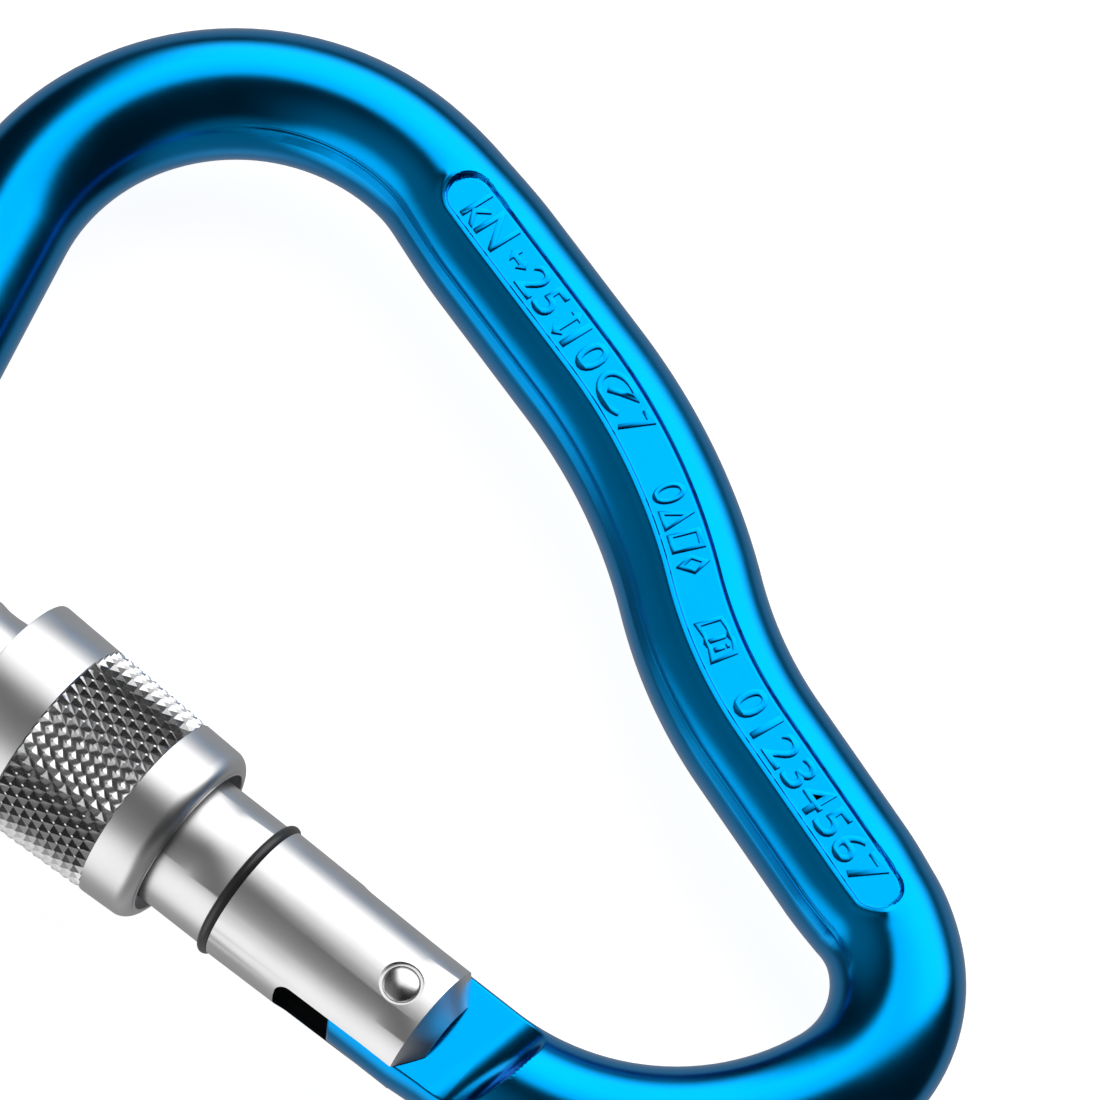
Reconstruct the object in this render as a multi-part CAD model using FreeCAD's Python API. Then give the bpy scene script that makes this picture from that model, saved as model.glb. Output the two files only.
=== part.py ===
"""Pear-shaped screw-gate locking carabiner, as separate pieces.

Design frame, in millimetres: the carabiner lies in the XY plane and Z is the
plane's normal. The gate's hinge rivet is on the Z axis, the closed gate runs
along +Y, and the spine is on the +X side. At the end every piece is moved so
that the origin is the centre of the whole carabiner's box.
"""
import FreeCAD, Part
import math
import os

V = FreeCAD.Vector
X_AXIS = V(1, 0, 0)
Y_AXIS = V(0, 1, 0)
Z_AXIS = V(0, 0, 1)
CENTRE = V(0, 0, 0)
FAR = 100.0            # larger than any piece, for the blocks that cut flats and slots

# ---------------------------------------------------------------- body rod
ROD_RADIUS = 5.75      # round rod of the nose, the basket and the hinge end
SPINE_HALF_WIDTH = 6.23        # flattened spine, measured in the carabiner's plane
SPINE_HALF_THICKNESS = 5.5     # flattened spine, across the plane
TRANSITION_LENGTH = 6.0        # over which the round rod becomes the flattened spine

# The rod's centreline, clockwise from the nose. A turn is in degrees and a
# clockwise turn is negative. The top and the lower spine's straights are
# worked out, so that the loop closes on the gate's axis.
NOSE_STRAIGHT = 3.3            # from the nose's shoulder to its arc
NOSE_ARC_RADIUS = 8.9
NOSE_TURN = -75.6
BASKET_RADIUS = 22.2
BASKET_TURN = -120.4
UPPER_SPINE_LENGTH = 20.3
SPINE_BEND_RADIUS = 57.8
SPINE_BEND_TURN = -22.4
SPINE_RETURN_RADIUS = 41.5
SPINE_RETURN_TURN = 20.1
CORNER_RADIUS = 11.7
CORNER_TURN = -91.3
FOOT_RADIUS = 26.1
HINGE_ARC_END = -8.2           # height at which the foot's arc meets the gate's axis

# Recessed marking panel along the spine, on both faces
PANEL_HALF_WIDTH = 2.2
PANEL_DEPTH = 0.5
PANEL_UPPER_INSET = 2.75       # from the spine's upper end to the centre of the panel's round end
PANEL_LOWER_INSET = 0.45       # and the same at the spine's lower end

# ---------------------------------------------------------------- hinge end
TONGUE_HALF_THICKNESS = 2.65   # of the flat that enters the gate's slot
HINGE_SHOULDER = -9.0          # where the hinge flat ends, on the inner side
SHOULDER_SKEW = 9.5            # degrees; the hinge flat's cutter is turned towards the rivet
CUTTER_RADIUS = 4.05           # concave shoulder left by the milling cutter
CAM_HEIGHT = 6.0               # end of the tongue above the rivet
CAM_LIFT_PER_RADIAN = 1.2      # plunger travel for one radian of the gate
TONGUE_CHAMFER_WIDTH = 5.0     # bevel on the tongue's outer corner, across the gate
TONGUE_CHAMFER_LENGTH = 3.0    # and along the gate
GATE_OPENING = 42.0            # full swing in degrees

# ---------------------------------------------------------------- gate barrel
BARREL_RADIUS = 6.15           # above the O-ring, and where the sleeve runs
BARREL_LENGTH = 51.4           # from the rivet to the nose end
HINGE_TAPER = 0.07             # the barrel is this much thinner at the hinge, on the radius
RING_STEP = 0.18               # and this much thicker just below the O-ring
NOSE_STEP = 0.15               # and this much thicker at the nose end
NOSE_LAND_LENGTH = 4.4         # of the thicker nose end
NOSE_BEVEL = 0.5
HINGE_END_DISTANCE = 5.0       # from the rivet to the flat hinge end
BEVEL_LENGTH = 1.7
BEVEL_DEPTH = 2.08
SLOT_CLEARANCE = 0.15          # on each side of a tongue
SLOT_END_CLEARANCE = 2.6       # beyond the hinge tongue's end
SLOT_CORNER_RADIUS = 1.2
NOSE_SLOT_CLEARANCE = 0.9      # below the nose tongue's tip
SPRING_BORE_RADIUS = 3.8
SPRING_SPACE = 16.35           # length of the bore beyond the plunger's shoulder
THREAD_DEPTH = 0.45
THREAD_RUN_OUT = 0.5

# ---------------------------------------------------------------- nose end
NOSE_GAP = 1.0                 # between the gate's end and the nose's shoulder
NOSE_TONGUE_LENGTH = 6.4       # short enough for the unlocked sleeve to swing past
LATCH_PIN_RADIUS = 1.4
LATCH_PIN_INSET = 2.2          # from the gate's end
LATCH_PIN_CLEARANCE = 0.4      # in the notch's round bottom
NOTCH_MOUTH_CLEARANCE = 0.3    # in the notch's mouth
NOTCH_MOUTH_SLOPE = 4.0        # degrees; the mouth follows the pin as the gate swings
NOSE_TIP_ROUND = 1.5

# ---------------------------------------------------------------- rivet
RIVET_RADIUS = 1.6
RIVET_RUNNING_CLEARANCE = 0.05
RIVET_SINK_RADIUS = 1.9        # relief round the rivet's head
RIVET_SINK_DEPTH = 0.5
RIVET_DOME = 0.45              # height of the domed head
RIVET_PROUD = 0.1              # edge of the dome above the barrel's surface

# ---------------------------------------------------------------- O-ring
O_RING_HEIGHT = 16.2
O_RING_WIRE_RADIUS = 0.48
O_RING_PROUD = 0.3             # above the barrel
O_RING_GROOVE_CLEARANCE = 0.03

# ---------------------------------------------------------------- sleeve
SLEEVE_LENGTH = 20.9
SLEEVE_REST_GAP = 7.7          # from the unlocked sleeve to the gate's end
SLEEVE_LAND_WALL = 2.27        # at the hinge end, outside the land
SLEEVE_NOSE_WALL = 2.37        # at the nose end, outside the wide bore
SLEEVE_RIM_ROUND = 1.5
SLEEVE_RUNNING_CLEARANCE = 0.1
SLEEVE_RECESS_DEPTH = 2.2      # counterbore that goes over the O-ring
SLEEVE_RECESS_CLEARANCE = 0.55 # round the O-ring
SLEEVE_LAND_LENGTH = 7.0
SLEEVE_NOSE_CLEARANCE = 0.7    # over the barrel's nose end
SLEEVE_MOUTH_CHAMFER = 0.4
THREAD_START_INSET = 2.9       # from the sleeve's ends to the barrel's threaded length
THREAD_END_INSET = 2.1

# ---------------------------------------------------------------- plunger and spring
PLUNGER_CLEARANCE = 0.1        # in the bore, on the radius
CAM_CLEARANCE = 0.05
PLUNGER_HEAD_LENGTH = 4.6
PLUNGER_STEM_RADIUS = 2.1
PLUNGER_STEM_LENGTH = 5.0
PLUNGER_CHAMFER = 0.3
SPRING_WIRE_RADIUS = 0.35
SPRING_COIL_RADIUS = 2.85
SPRING_TURNS = 8
SPRING_END_CLEARANCE = 0.05

# ---------------------------------------------------------------- sizes that follow
NOSE_SHOULDER = BARREL_LENGTH + NOSE_GAP
NOSE_TONGUE_TIP = NOSE_SHOULDER - NOSE_TONGUE_LENGTH
NOSE_ARC_START = NOSE_SHOULDER + NOSE_STRAIGHT
LATCH_PIN_HEIGHT = BARREL_LENGTH - LATCH_PIN_INSET
BARREL_END = -HINGE_END_DISTANCE
BARREL_HINGE_RADIUS = BARREL_RADIUS - HINGE_TAPER
BARREL_RING_RADIUS = BARREL_RADIUS + RING_STEP
BARREL_NOSE_RADIUS = BARREL_RADIUS + NOSE_STEP
HINGE_SLOT_END = CAM_HEIGHT + SLOT_END_CLEARANCE
PLUNGER_FRONT = CAM_HEIGHT + CAM_CLEARANCE
PLUNGER_SHOULDER = PLUNGER_FRONT + PLUNGER_HEAD_LENGTH
SPRING_BORE_END = PLUNGER_SHOULDER + SPRING_SPACE
O_RING_OUTER_RADIUS = BARREL_RING_RADIUS + O_RING_PROUD
O_RING_GROOVE_RADIUS = O_RING_OUTER_RADIUS - 2 * O_RING_WIRE_RADIUS
SLEEVE_END = BARREL_LENGTH - SLEEVE_REST_GAP
SLEEVE_START = SLEEVE_END - SLEEVE_LENGTH
SLEEVE_LAND_RADIUS = BARREL_RADIUS + SLEEVE_RUNNING_CLEARANCE
SLEEVE_WIDE_RADIUS = max(BARREL_NOSE_RADIUS, ROD_RADIUS) + SLEEVE_NOSE_CLEARANCE
SLEEVE_RECESS_RADIUS = O_RING_OUTER_RADIUS + SLEEVE_RECESS_CLEARANCE
SLEEVE_START_RADIUS = SLEEVE_LAND_RADIUS + SLEEVE_LAND_WALL
SLEEVE_END_RADIUS = SLEEVE_WIDE_RADIUS + SLEEVE_NOSE_WALL
THREAD_START = SLEEVE_START + THREAD_START_INSET
THREAD_END = SLEEVE_END - THREAD_END_INSET

# ---------------------------------------------------------------- centreline
NOSE_START = "nose start"
TOP_STRAIGHT = "top straight"
UPPER_SPINE = "upper spine"
SPINE_BEND = "spine bend"
SPINE_RETURN = "spine return"
LOWER_SPINE = "lower spine"
ROUND_RUNS = (NOSE_START, "nose arc", TOP_STRAIGHT, "basket", "corner", "foot", "hinge straight")


def heading(degrees):
    """Unit vector in the carabiner's plane."""
    return V(math.cos(math.radians(degrees)), math.sin(math.radians(degrees)), 0)


def left_of(degrees):
    """Unit vector to the left of a heading."""
    return heading(degrees + 90)


def arc_chord(radius, start, turn):
    """Displacement along an arc that starts on a heading and turns by an angle."""
    side = 1 if turn > 0 else -1
    return (left_of(start) - left_of(start + turn)) * (radius * side)


def path_steps(top_length, lower_length):
    """The rod's runs in order: name, length or radius, and turn (0 on a straight)."""
    foot_turn = 360 + NOSE_TURN + BASKET_TURN + SPINE_BEND_TURN + SPINE_RETURN_TURN + CORNER_TURN
    return [
        (NOSE_START, NOSE_ARC_START - NOSE_TONGUE_TIP, 0),
        ("nose arc", NOSE_ARC_RADIUS, NOSE_TURN),
        (TOP_STRAIGHT, top_length, 0),
        ("basket", BASKET_RADIUS, BASKET_TURN),
        (UPPER_SPINE, UPPER_SPINE_LENGTH, 0),
        (SPINE_BEND, SPINE_BEND_RADIUS, SPINE_BEND_TURN),
        (SPINE_RETURN, SPINE_RETURN_RADIUS, SPINE_RETURN_TURN),
        (LOWER_SPINE, lower_length, 0),
        ("corner", CORNER_RADIUS, CORNER_TURN),
        ("foot", FOOT_RADIUS, -foot_turn),
        ("hinge straight", CAM_HEIGHT - HINGE_ARC_END, 0),
    ]


def walk(steps, start, angle):
    """Each run with its start point, start heading, end point and end heading."""
    runs = {}
    for name, size, turn in steps:
        step = arc_chord(size, angle, turn) if turn else heading(angle) * size
        runs[name] = (size, turn, start, angle, start + step, angle + turn)
        start = start + step
        angle = angle + turn
    return runs


def closed_path():
    """The runs, with the two free straights sized so that the rod ends on the gate's axis."""
    start = V(0, NOSE_TONGUE_TIP, 0)
    trial = walk(path_steps(0, 0), start, 90)
    miss = V(0, CAM_HEIGHT, 0) - trial["hinge straight"][4]
    top = heading(trial[TOP_STRAIGHT][3])
    low = heading(trial[LOWER_SPINE][3])
    area = top.x * low.y - top.y * low.x
    top_length = (miss.x * low.y - miss.y * low.x) / area
    lower_length = (top.x * miss.y - top.y * miss.x) / area
    return walk(path_steps(top_length, lower_length), start, 90)


# ---------------------------------------------------------------- rod sections
def section_wire(point, angle, half_width, half_thickness):
    """Round or oval section across the rod at a point of the centreline."""
    if abs(half_width - half_thickness) < 1e-6:
        curve = Part.Circle(point, heading(angle), half_width)
        curve.XAxis = left_of(angle)
    else:
        across = left_of(angle) * half_width
        curve = Part.Ellipse(point + across, point + Z_AXIS * half_thickness, point)
    return Part.Wire([curve.toShape()])


def swept_run(run, half_width, half_thickness):
    """A straight or curved run of the rod, with one section."""
    size, turn, start, angle, end, _ = run
    face = Part.Face(section_wire(start, angle, half_width, half_thickness))
    if not turn:
        return face.extrude(end - start)
    side = 1 if turn > 0 else -1
    centre = start + left_of(angle) * (size * side)
    return face.revolve(centre, Z_AXIS * side, abs(turn))


def transition(point, angle, oval_first):
    """Loft between the round rod and the flattened spine, along a straight."""
    there = point + heading(angle) * TRANSITION_LENGTH
    first = (SPINE_HALF_WIDTH, SPINE_HALF_THICKNESS) if oval_first else (ROD_RADIUS, ROD_RADIUS)
    last = (ROD_RADIUS, ROD_RADIUS) if oval_first else (SPINE_HALF_WIDTH, SPINE_HALF_THICKNESS)
    return Part.makeLoft(
        [section_wire(point, angle, *first), section_wire(there, angle, *last)], True, True
    )


def spine_straights(runs):
    """The two straights of the spine, each with its change of section."""
    size, _, start, angle, end, _ = runs[UPPER_SPINE]
    joint = start + heading(angle) * TRANSITION_LENGTH
    upper = (size, 0, joint, angle, end, angle)
    parts = [transition(start, angle, False)]
    parts.append(swept_run(upper, SPINE_HALF_WIDTH, SPINE_HALF_THICKNESS))
    size, _, start, angle, end, _ = runs[LOWER_SPINE]
    joint = end - heading(angle) * TRANSITION_LENGTH
    lower = (size, 0, start, angle, joint, angle)
    parts.append(swept_run(lower, SPINE_HALF_WIDTH, SPINE_HALF_THICKNESS))
    parts.append(transition(joint, angle, True))
    return parts


def rod(runs):
    """The whole bent rod, before its ends are milled."""
    parts = [swept_run(runs[name], ROD_RADIUS, ROD_RADIUS) for name in ROUND_RUNS]
    parts += spine_straights(runs)
    for name in (SPINE_BEND, SPINE_RETURN):
        parts.append(swept_run(runs[name], SPINE_HALF_WIDTH, SPINE_HALF_THICKNESS))
    return parts[0].fuse(parts[1:]).removeSplitter()


# ---------------------------------------------------------------- panel
def offset_edge(run, distance):
    """A run of the centreline moved to its left by a distance."""
    _, turn, start, angle, end, last = run
    first = start + left_of(angle) * distance
    final = end + left_of(last) * distance
    if not turn:
        return Part.LineSegment(first, final).toShape()
    middle_angle = angle + turn / 2
    middle = start + arc_chord(run[0], angle, turn / 2) + left_of(middle_angle) * distance
    return Part.Arc(first, middle, final).toShape()


def panel_outline(runs, half_width):
    """A long round-ended outline that follows the spine."""
    size, _, start, angle, end, last = runs[UPPER_SPINE]
    upper = (size, 0, start + heading(angle) * PANEL_UPPER_INSET, angle, end, last)
    size, _, start, angle, end, last = runs[LOWER_SPINE]
    lower = (size, 0, start, angle, end - heading(angle) * PANEL_LOWER_INSET, last)
    chain = [upper, runs[SPINE_BEND], runs[SPINE_RETURN], lower]
    edges = [offset_edge(run, half_width) for run in chain]
    tip = lower[4]
    edges.append(Part.Arc(
        tip + left_of(last) * half_width,
        tip + heading(last) * half_width,
        tip - left_of(last) * half_width,
    ).toShape())
    edges += [offset_edge(run, -half_width) for run in reversed(chain)]
    tip, angle = upper[2], upper[3]
    edges.append(Part.Arc(
        tip - left_of(angle) * half_width,
        tip - heading(angle) * half_width,
        tip + left_of(angle) * half_width,
    ).toShape())
    return Part.Wire(Part.__sortEdges__(edges))


def panel_cuts(runs):
    """The two blocks that leave the recessed panels' flat floors."""
    face = Part.Face(panel_outline(runs, PANEL_HALF_WIDTH))
    floor = SPINE_HALF_THICKNESS - PANEL_DEPTH
    upper = face.translated(Z_AXIS * floor).extrude(Z_AXIS * SPINE_HALF_THICKNESS)
    lower = face.translated(Z_AXIS * -floor).extrude(Z_AXIS * -SPINE_HALF_THICKNESS)
    return [upper, lower]


# ---------------------------------------------------------------- milled ends
def block(x, y, z):
    """A box from three (low, high) ranges."""
    return Part.makeBox(x[1] - x[0], y[1] - y[0], z[1] - z[0], V(x[0], y[0], z[0]))


def flat_cuts(shoulder, tip, skew=0):
    """Cuts for the two flats of a tongue, from its tip to a concave shoulder.

    A skewed cutter is turned about the shoulder's inner end.
    """
    low, high = min(shoulder, tip), max(shoulder, tip)
    wide = (-2 * ROD_RADIUS, 2 * ROD_RADIUS)
    cuts = []
    for side in (1, -1):
        z = sorted((side * TONGUE_HALF_THICKNESS, side * 2 * ROD_RADIUS))
        cuts.append(block(wide, (low, high), z))
        centre = V(wide[0], shoulder, side * (TONGUE_HALF_THICKNESS + CUTTER_RADIUS))
        cuts.append(Part.makeCylinder(CUTTER_RADIUS, wide[1] - wide[0], centre, X_AXIS))
    for cut in cuts:
        cut.rotate(V(ROD_RADIUS, shoulder, 0), Z_AXIS, -skew)
    return cuts


def cam_point(angle):
    """Where the tongue touches the flat plunger when the gate is open by an angle.

    The point is (lift per radian, height + lift) on the gate, turned back by the
    gate's own angle, so the plunger's travel is proportional to the gate's angle.
    """
    height = CAM_HEIGHT + CAM_LIFT_PER_RADIAN * angle
    across = CAM_LIFT_PER_RADIAN * math.cos(angle) + height * math.sin(angle)
    return V(across, height * math.cos(angle) - CAM_LIFT_PER_RADIAN * math.sin(angle), 0)


def tongue_outline():
    """The hinge tongue seen along the rivet: bevelled outer corner, cam on the inner side."""
    side = 2 * ROD_RADIUS
    full = math.radians(GATE_OPENING)
    top = CAM_HEIGHT
    first, last = cam_point(0), cam_point(full)
    tail = V(side, last.y - (side - last.x), 0)
    outer = -ROD_RADIUS
    bevel_start = V(outer, top - TONGUE_CHAMFER_LENGTH, 0)
    bevel_end = V(outer + TONGUE_CHAMFER_WIDTH, top, 0)
    edges = [
        Part.LineSegment(V(-side, HINGE_SHOULDER, 0), V(side, HINGE_SHOULDER, 0)),
        Part.LineSegment(V(side, HINGE_SHOULDER, 0), tail),
        Part.LineSegment(tail, last),
        Part.Arc(last, cam_point(full / 2), first),
        Part.LineSegment(first, bevel_end),
        Part.LineSegment(bevel_end, bevel_start),
        Part.LineSegment(bevel_start, V(-side, bevel_start.y, 0)),
        Part.LineSegment(V(-side, bevel_start.y, 0), V(-side, HINGE_SHOULDER, 0)),
    ]
    return Part.Wire([edge.toShape() for edge in edges])


def tongue_waste():
    """What is cut from the end of the rod to leave the tongue's outline."""
    side = 2 * ROD_RADIUS
    keep = Part.Face(tongue_outline()).extrude(Z_AXIS * 2 * FAR).translated(Z_AXIS * -FAR)
    whole = block((-side, side), (HINGE_SHOULDER, CAM_HEIGHT + side / 2), (-side, side))
    return whole.cut(keep)


def notch_cut():
    """The notch that the latch pin drops into: a round bottom and a narrower mouth."""
    centre = V(0, LATCH_PIN_HEIGHT, -FAR)
    bottom = Part.makeCylinder(LATCH_PIN_RADIUS + LATCH_PIN_CLEARANCE, 2 * FAR, centre, Z_AXIS)
    half = LATCH_PIN_RADIUS + NOTCH_MOUTH_CLEARANCE
    height = (LATCH_PIN_HEIGHT - half, LATCH_PIN_HEIGHT + half)
    mouth = block((0, 2 * ROD_RADIUS), height, (-FAR, FAR))
    mouth.rotate(centre, Z_AXIS, -NOTCH_MOUTH_SLOPE)
    return bottom.fuse(mouth)


def nose_tip_edges(shape):
    """The two edges across the nose tongue's tip, one on each flat."""
    return [
        edge for edge in shape.Edges
        if abs(edge.BoundBox.YMin - NOSE_TONGUE_TIP) < 1e-3 and edge.BoundBox.YLength < 1e-3
        and edge.BoundBox.ZLength < 1e-3
    ]


def body(runs):
    """The rod with its panels, its two tongues, the nose's notch and the rivet's hole."""
    shape = rod(runs)
    flats = flat_cuts(HINGE_SHOULDER, CAM_HEIGHT + ROD_RADIUS, SHOULDER_SKEW)
    flats += flat_cuts(NOSE_SHOULDER, NOSE_TONGUE_TIP - 1)
    for cut in panel_cuts(runs) + flats:
        shape = shape.cut(cut)
    shape = shape.makeFillet(NOSE_TIP_ROUND, nose_tip_edges(shape))
    hole = Part.makeCylinder(
        RIVET_RADIUS + RIVET_RUNNING_CLEARANCE, 2 * FAR, V(0, 0, -FAR), Z_AXIS
    )
    for cut in (tongue_waste(), notch_cut(), hole):
        shape = shape.cut(cut)
    return shape


# ---------------------------------------------------------------- turned pieces
def turned(outline):
    """A closed outline of (radius, height) points turned round the gate's axis."""
    points = [V(radius, height, 0) for radius, height in outline]
    face = Part.Face(Part.makePolygon(points + points[:1]))
    return face.revolve(CENTRE, Y_AXIS, 360)


def barrel_outline():
    root = BARREL_RADIUS - THREAD_DEPTH
    half = O_RING_WIRE_RADIUS + O_RING_GROOVE_CLEARANCE
    low, high = O_RING_HEIGHT - half, O_RING_HEIGHT + half
    return [
        (0, BARREL_END),
        (BARREL_HINGE_RADIUS - BEVEL_DEPTH, BARREL_END),
        (BARREL_HINGE_RADIUS, BARREL_END + BEVEL_LENGTH),
        (BARREL_RING_RADIUS, low),
        (O_RING_GROOVE_RADIUS, low),
        (O_RING_GROOVE_RADIUS, high),
        (BARREL_RADIUS, high),
        (BARREL_RADIUS, THREAD_START),
        (root, THREAD_START + THREAD_RUN_OUT),
        (root, THREAD_END - THREAD_RUN_OUT),
        (BARREL_RADIUS, THREAD_END),
        (BARREL_RADIUS, BARREL_LENGTH - NOSE_LAND_LENGTH),
        (BARREL_NOSE_RADIUS, BARREL_LENGTH - NOSE_LAND_LENGTH + 1),
        (BARREL_NOSE_RADIUS, BARREL_LENGTH - NOSE_BEVEL),
        (BARREL_NOSE_RADIUS - NOSE_BEVEL, BARREL_LENGTH),
        (0, BARREL_LENGTH),
    ]


def slot_cut(low, high, rounded_end):
    """A slot across the barrel, open at one end and with round corners at the other."""
    half = TONGUE_HALF_THICKNESS + SLOT_CLEARANCE
    slot = block((-FAR, FAR), (low, high), (-half, half))
    edges = [
        edge for edge in slot.Edges
        if abs(edge.BoundBox.YMin - rounded_end) < 1e-6 and edge.BoundBox.YLength < 1e-6
        and edge.BoundBox.ZLength < 1e-6
    ]
    return slot.makeFillet(SLOT_CORNER_RADIUS, edges)


def gate_barrel():
    shape = turned(barrel_outline())
    bore = Part.makeCylinder(
        SPRING_BORE_RADIUS, SPRING_BORE_END - BARREL_END + 1, V(0, BARREL_END - 1, 0), Y_AXIS
    )
    rivet_hole = Part.makeCylinder(RIVET_RADIUS, 2 * FAR, V(0, 0, -FAR), Z_AXIS)
    sink_floor = BARREL_HINGE_RADIUS - RIVET_SINK_DEPTH
    cuts = [bore, rivet_hole]
    for side in (1, -1):
        start = V(0, 0, side * sink_floor)
        cuts.append(Part.makeCylinder(RIVET_SINK_RADIUS, FAR, start, Z_AXIS * side))
    cuts.append(Part.makeCylinder(LATCH_PIN_RADIUS, 2 * FAR, V(0, LATCH_PIN_HEIGHT, -FAR), Z_AXIS))
    cuts.append(slot_cut(BARREL_END - 1, HINGE_SLOT_END, HINGE_SLOT_END))
    slot_floor = NOSE_TONGUE_TIP - NOSE_SLOT_CLEARANCE
    cuts.append(slot_cut(slot_floor, BARREL_LENGTH + 1, slot_floor))
    for cut in cuts:
        shape = shape.cut(cut)
    return shape


def domed_rivet(radius, edge_height, dome):
    """A round shank along Z with a domed head at each end."""
    sphere_radius = (radius ** 2 + dome ** 2) / (2 * dome)
    shank = Part.makeCylinder(radius, 2 * (edge_height + dome), V(0, 0, -edge_height - dome), Z_AXIS)
    for side in (1, -1):
        centre = V(0, 0, side * (edge_height + dome - sphere_radius))
        ball = Part.makeSphere(sphere_radius, centre)
        half = Part.makeCylinder(FAR, FAR, centre, Z_AXIS * -side)
        shank = shank.common(ball.fuse(half))
    return shank.removeSplitter()


def hinge_rivet():
    return domed_rivet(RIVET_RADIUS, BARREL_HINGE_RADIUS - RIVET_DOME + RIVET_PROUD, RIVET_DOME)


def latch_pin():
    """Cross pin, flush with the barrel's round surface."""
    pin = Part.makeCylinder(LATCH_PIN_RADIUS, 2 * FAR, V(0, LATCH_PIN_HEIGHT, -FAR), Z_AXIS)
    skin = Part.makeCylinder(BARREL_NOSE_RADIUS, BARREL_LENGTH, CENTRE, Y_AXIS)
    return pin.common(skin)


def o_ring():
    centre_radius = O_RING_OUTER_RADIUS - O_RING_WIRE_RADIUS
    return Part.makeTorus(centre_radius, O_RING_WIRE_RADIUS, V(0, O_RING_HEIGHT, 0), Y_AXIS)


def sleeve_rim():
    """The sleeve's rounded hinge-side rim, as an arc between its face and its cone."""
    slope = math.atan2(SLEEVE_END_RADIUS - SLEEVE_START_RADIUS, SLEEVE_END - SLEEVE_START)
    radius = SLEEVE_RIM_ROUND
    centre_height = SLEEVE_START + radius
    centre_radius = (
        SLEEVE_START_RADIUS + radius * math.tan(slope) - radius / math.cos(slope)
    )
    face = V(centre_radius, SLEEVE_START, 0)
    tangent = V(
        centre_radius + radius * math.cos(slope), centre_height - radius * math.sin(slope), 0
    )
    half = -(slope + math.pi / 2) / 2
    middle = V(
        centre_radius + radius * math.cos(half), centre_height + radius * math.sin(half), 0
    )
    return face, middle, tangent


def lock_sleeve():
    """Conical outside; inside, a recess for the O-ring, a land on the barrel and a wide nose end."""
    land = SLEEVE_LAND_RADIUS
    recess = SLEEVE_RECESS_RADIUS
    wide = SLEEVE_WIDE_RADIUS
    land_start = SLEEVE_START + SLEEVE_RECESS_DEPTH
    land_end = land_start + SLEEVE_LAND_LENGTH
    face, middle, tangent = sleeve_rim()
    inside = [
        V(SLEEVE_END_RADIUS, SLEEVE_END, 0),
        V(wide + SLEEVE_MOUTH_CHAMFER, SLEEVE_END, 0),
        V(wide, SLEEVE_END - SLEEVE_MOUTH_CHAMFER, 0),
        V(wide, land_end + wide - land, 0),
        V(land, land_end, 0),
        V(land, land_start, 0),
        V(recess, land_start, 0),
        V(recess, SLEEVE_START, 0),
        face,
    ]
    edges = [Part.Arc(face, middle, tangent).toShape()]
    edges.append(Part.LineSegment(tangent, inside[0]).toShape())
    for first, second in zip(inside, inside[1:]):
        edges.append(Part.LineSegment(first, second).toShape())
    return Part.Face(Part.Wire(edges)).revolve(CENTRE, Y_AXIS, 360)


# ---------------------------------------------------------------- plunger and spring
def spring_plunger():
    radius = SPRING_BORE_RADIUS - PLUNGER_CLEARANCE
    stem_end = PLUNGER_SHOULDER + PLUNGER_STEM_LENGTH
    return turned([
        (0, PLUNGER_FRONT),
        (radius - PLUNGER_CHAMFER, PLUNGER_FRONT),
        (radius, PLUNGER_FRONT + PLUNGER_CHAMFER),
        (radius, PLUNGER_SHOULDER),
        (PLUNGER_STEM_RADIUS, PLUNGER_SHOULDER),
        (PLUNGER_STEM_RADIUS, stem_end - PLUNGER_CHAMFER),
        (PLUNGER_STEM_RADIUS - PLUNGER_CHAMFER, stem_end),
        (0, stem_end),
    ])


def gate_spring():
    """Compression spring between the plunger's shoulder and the bottom of its bore."""
    gap = SPRING_WIRE_RADIUS + SPRING_END_CLEARANCE
    start = PLUNGER_SHOULDER + gap
    length = SPRING_BORE_END - gap - start
    helix = Part.makeHelix(length / SPRING_TURNS, length, SPRING_COIL_RADIUS)
    wire = Part.Wire([Part.Circle(V(SPRING_COIL_RADIUS, 0, 0), Y_AXIS, SPRING_WIRE_RADIUS).toShape()])
    spring = Part.Wire(helix.Edges).makePipeShell([wire], True, True)
    spring.rotate(CENTRE, X_AXIS, -90)
    return spring.translated(V(0, start, 0))


# ---------------------------------------------------------------- all pieces
def main():
    runs = closed_path()
    pieces = {
        "body": body(runs),
        "gate_barrel": gate_barrel(),
        "hinge_rivet": hinge_rivet(),
        "latch_pin": latch_pin(),
        "o_ring": o_ring(),
        "lock_sleeve": lock_sleeve(),
        "spring_plunger": spring_plunger(),
        "gate_spring": gate_spring(),
    }
    centre = Part.makeCompound(list(pieces.values())).optimalBoundingBox(False).Center
    os.makedirs("parts", exist_ok=True)
    for name, shape in pieces.items():
        shape = shape.translated(V(-centre.x, -centre.y, 0))
        shape.exportStep(f"parts/{name}.step")
        box = shape.BoundBox
        print(
            f"{name:15s} solids {len(shape.Solids)} valid {shape.isValid()} "
            f"volume {shape.Volume:9.2f} size {box.XLength:.2f} {box.YLength:.2f} {box.ZLength:.2f}"
        )
    print(f"the hinge rivet is at X {-centre.x:.3f}, Y {-centre.y:.3f}")
    print(f"top straight {runs[TOP_STRAIGHT][0]:.2f}, lower spine {runs[LOWER_SPINE][0]:.2f}")


main()
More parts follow.
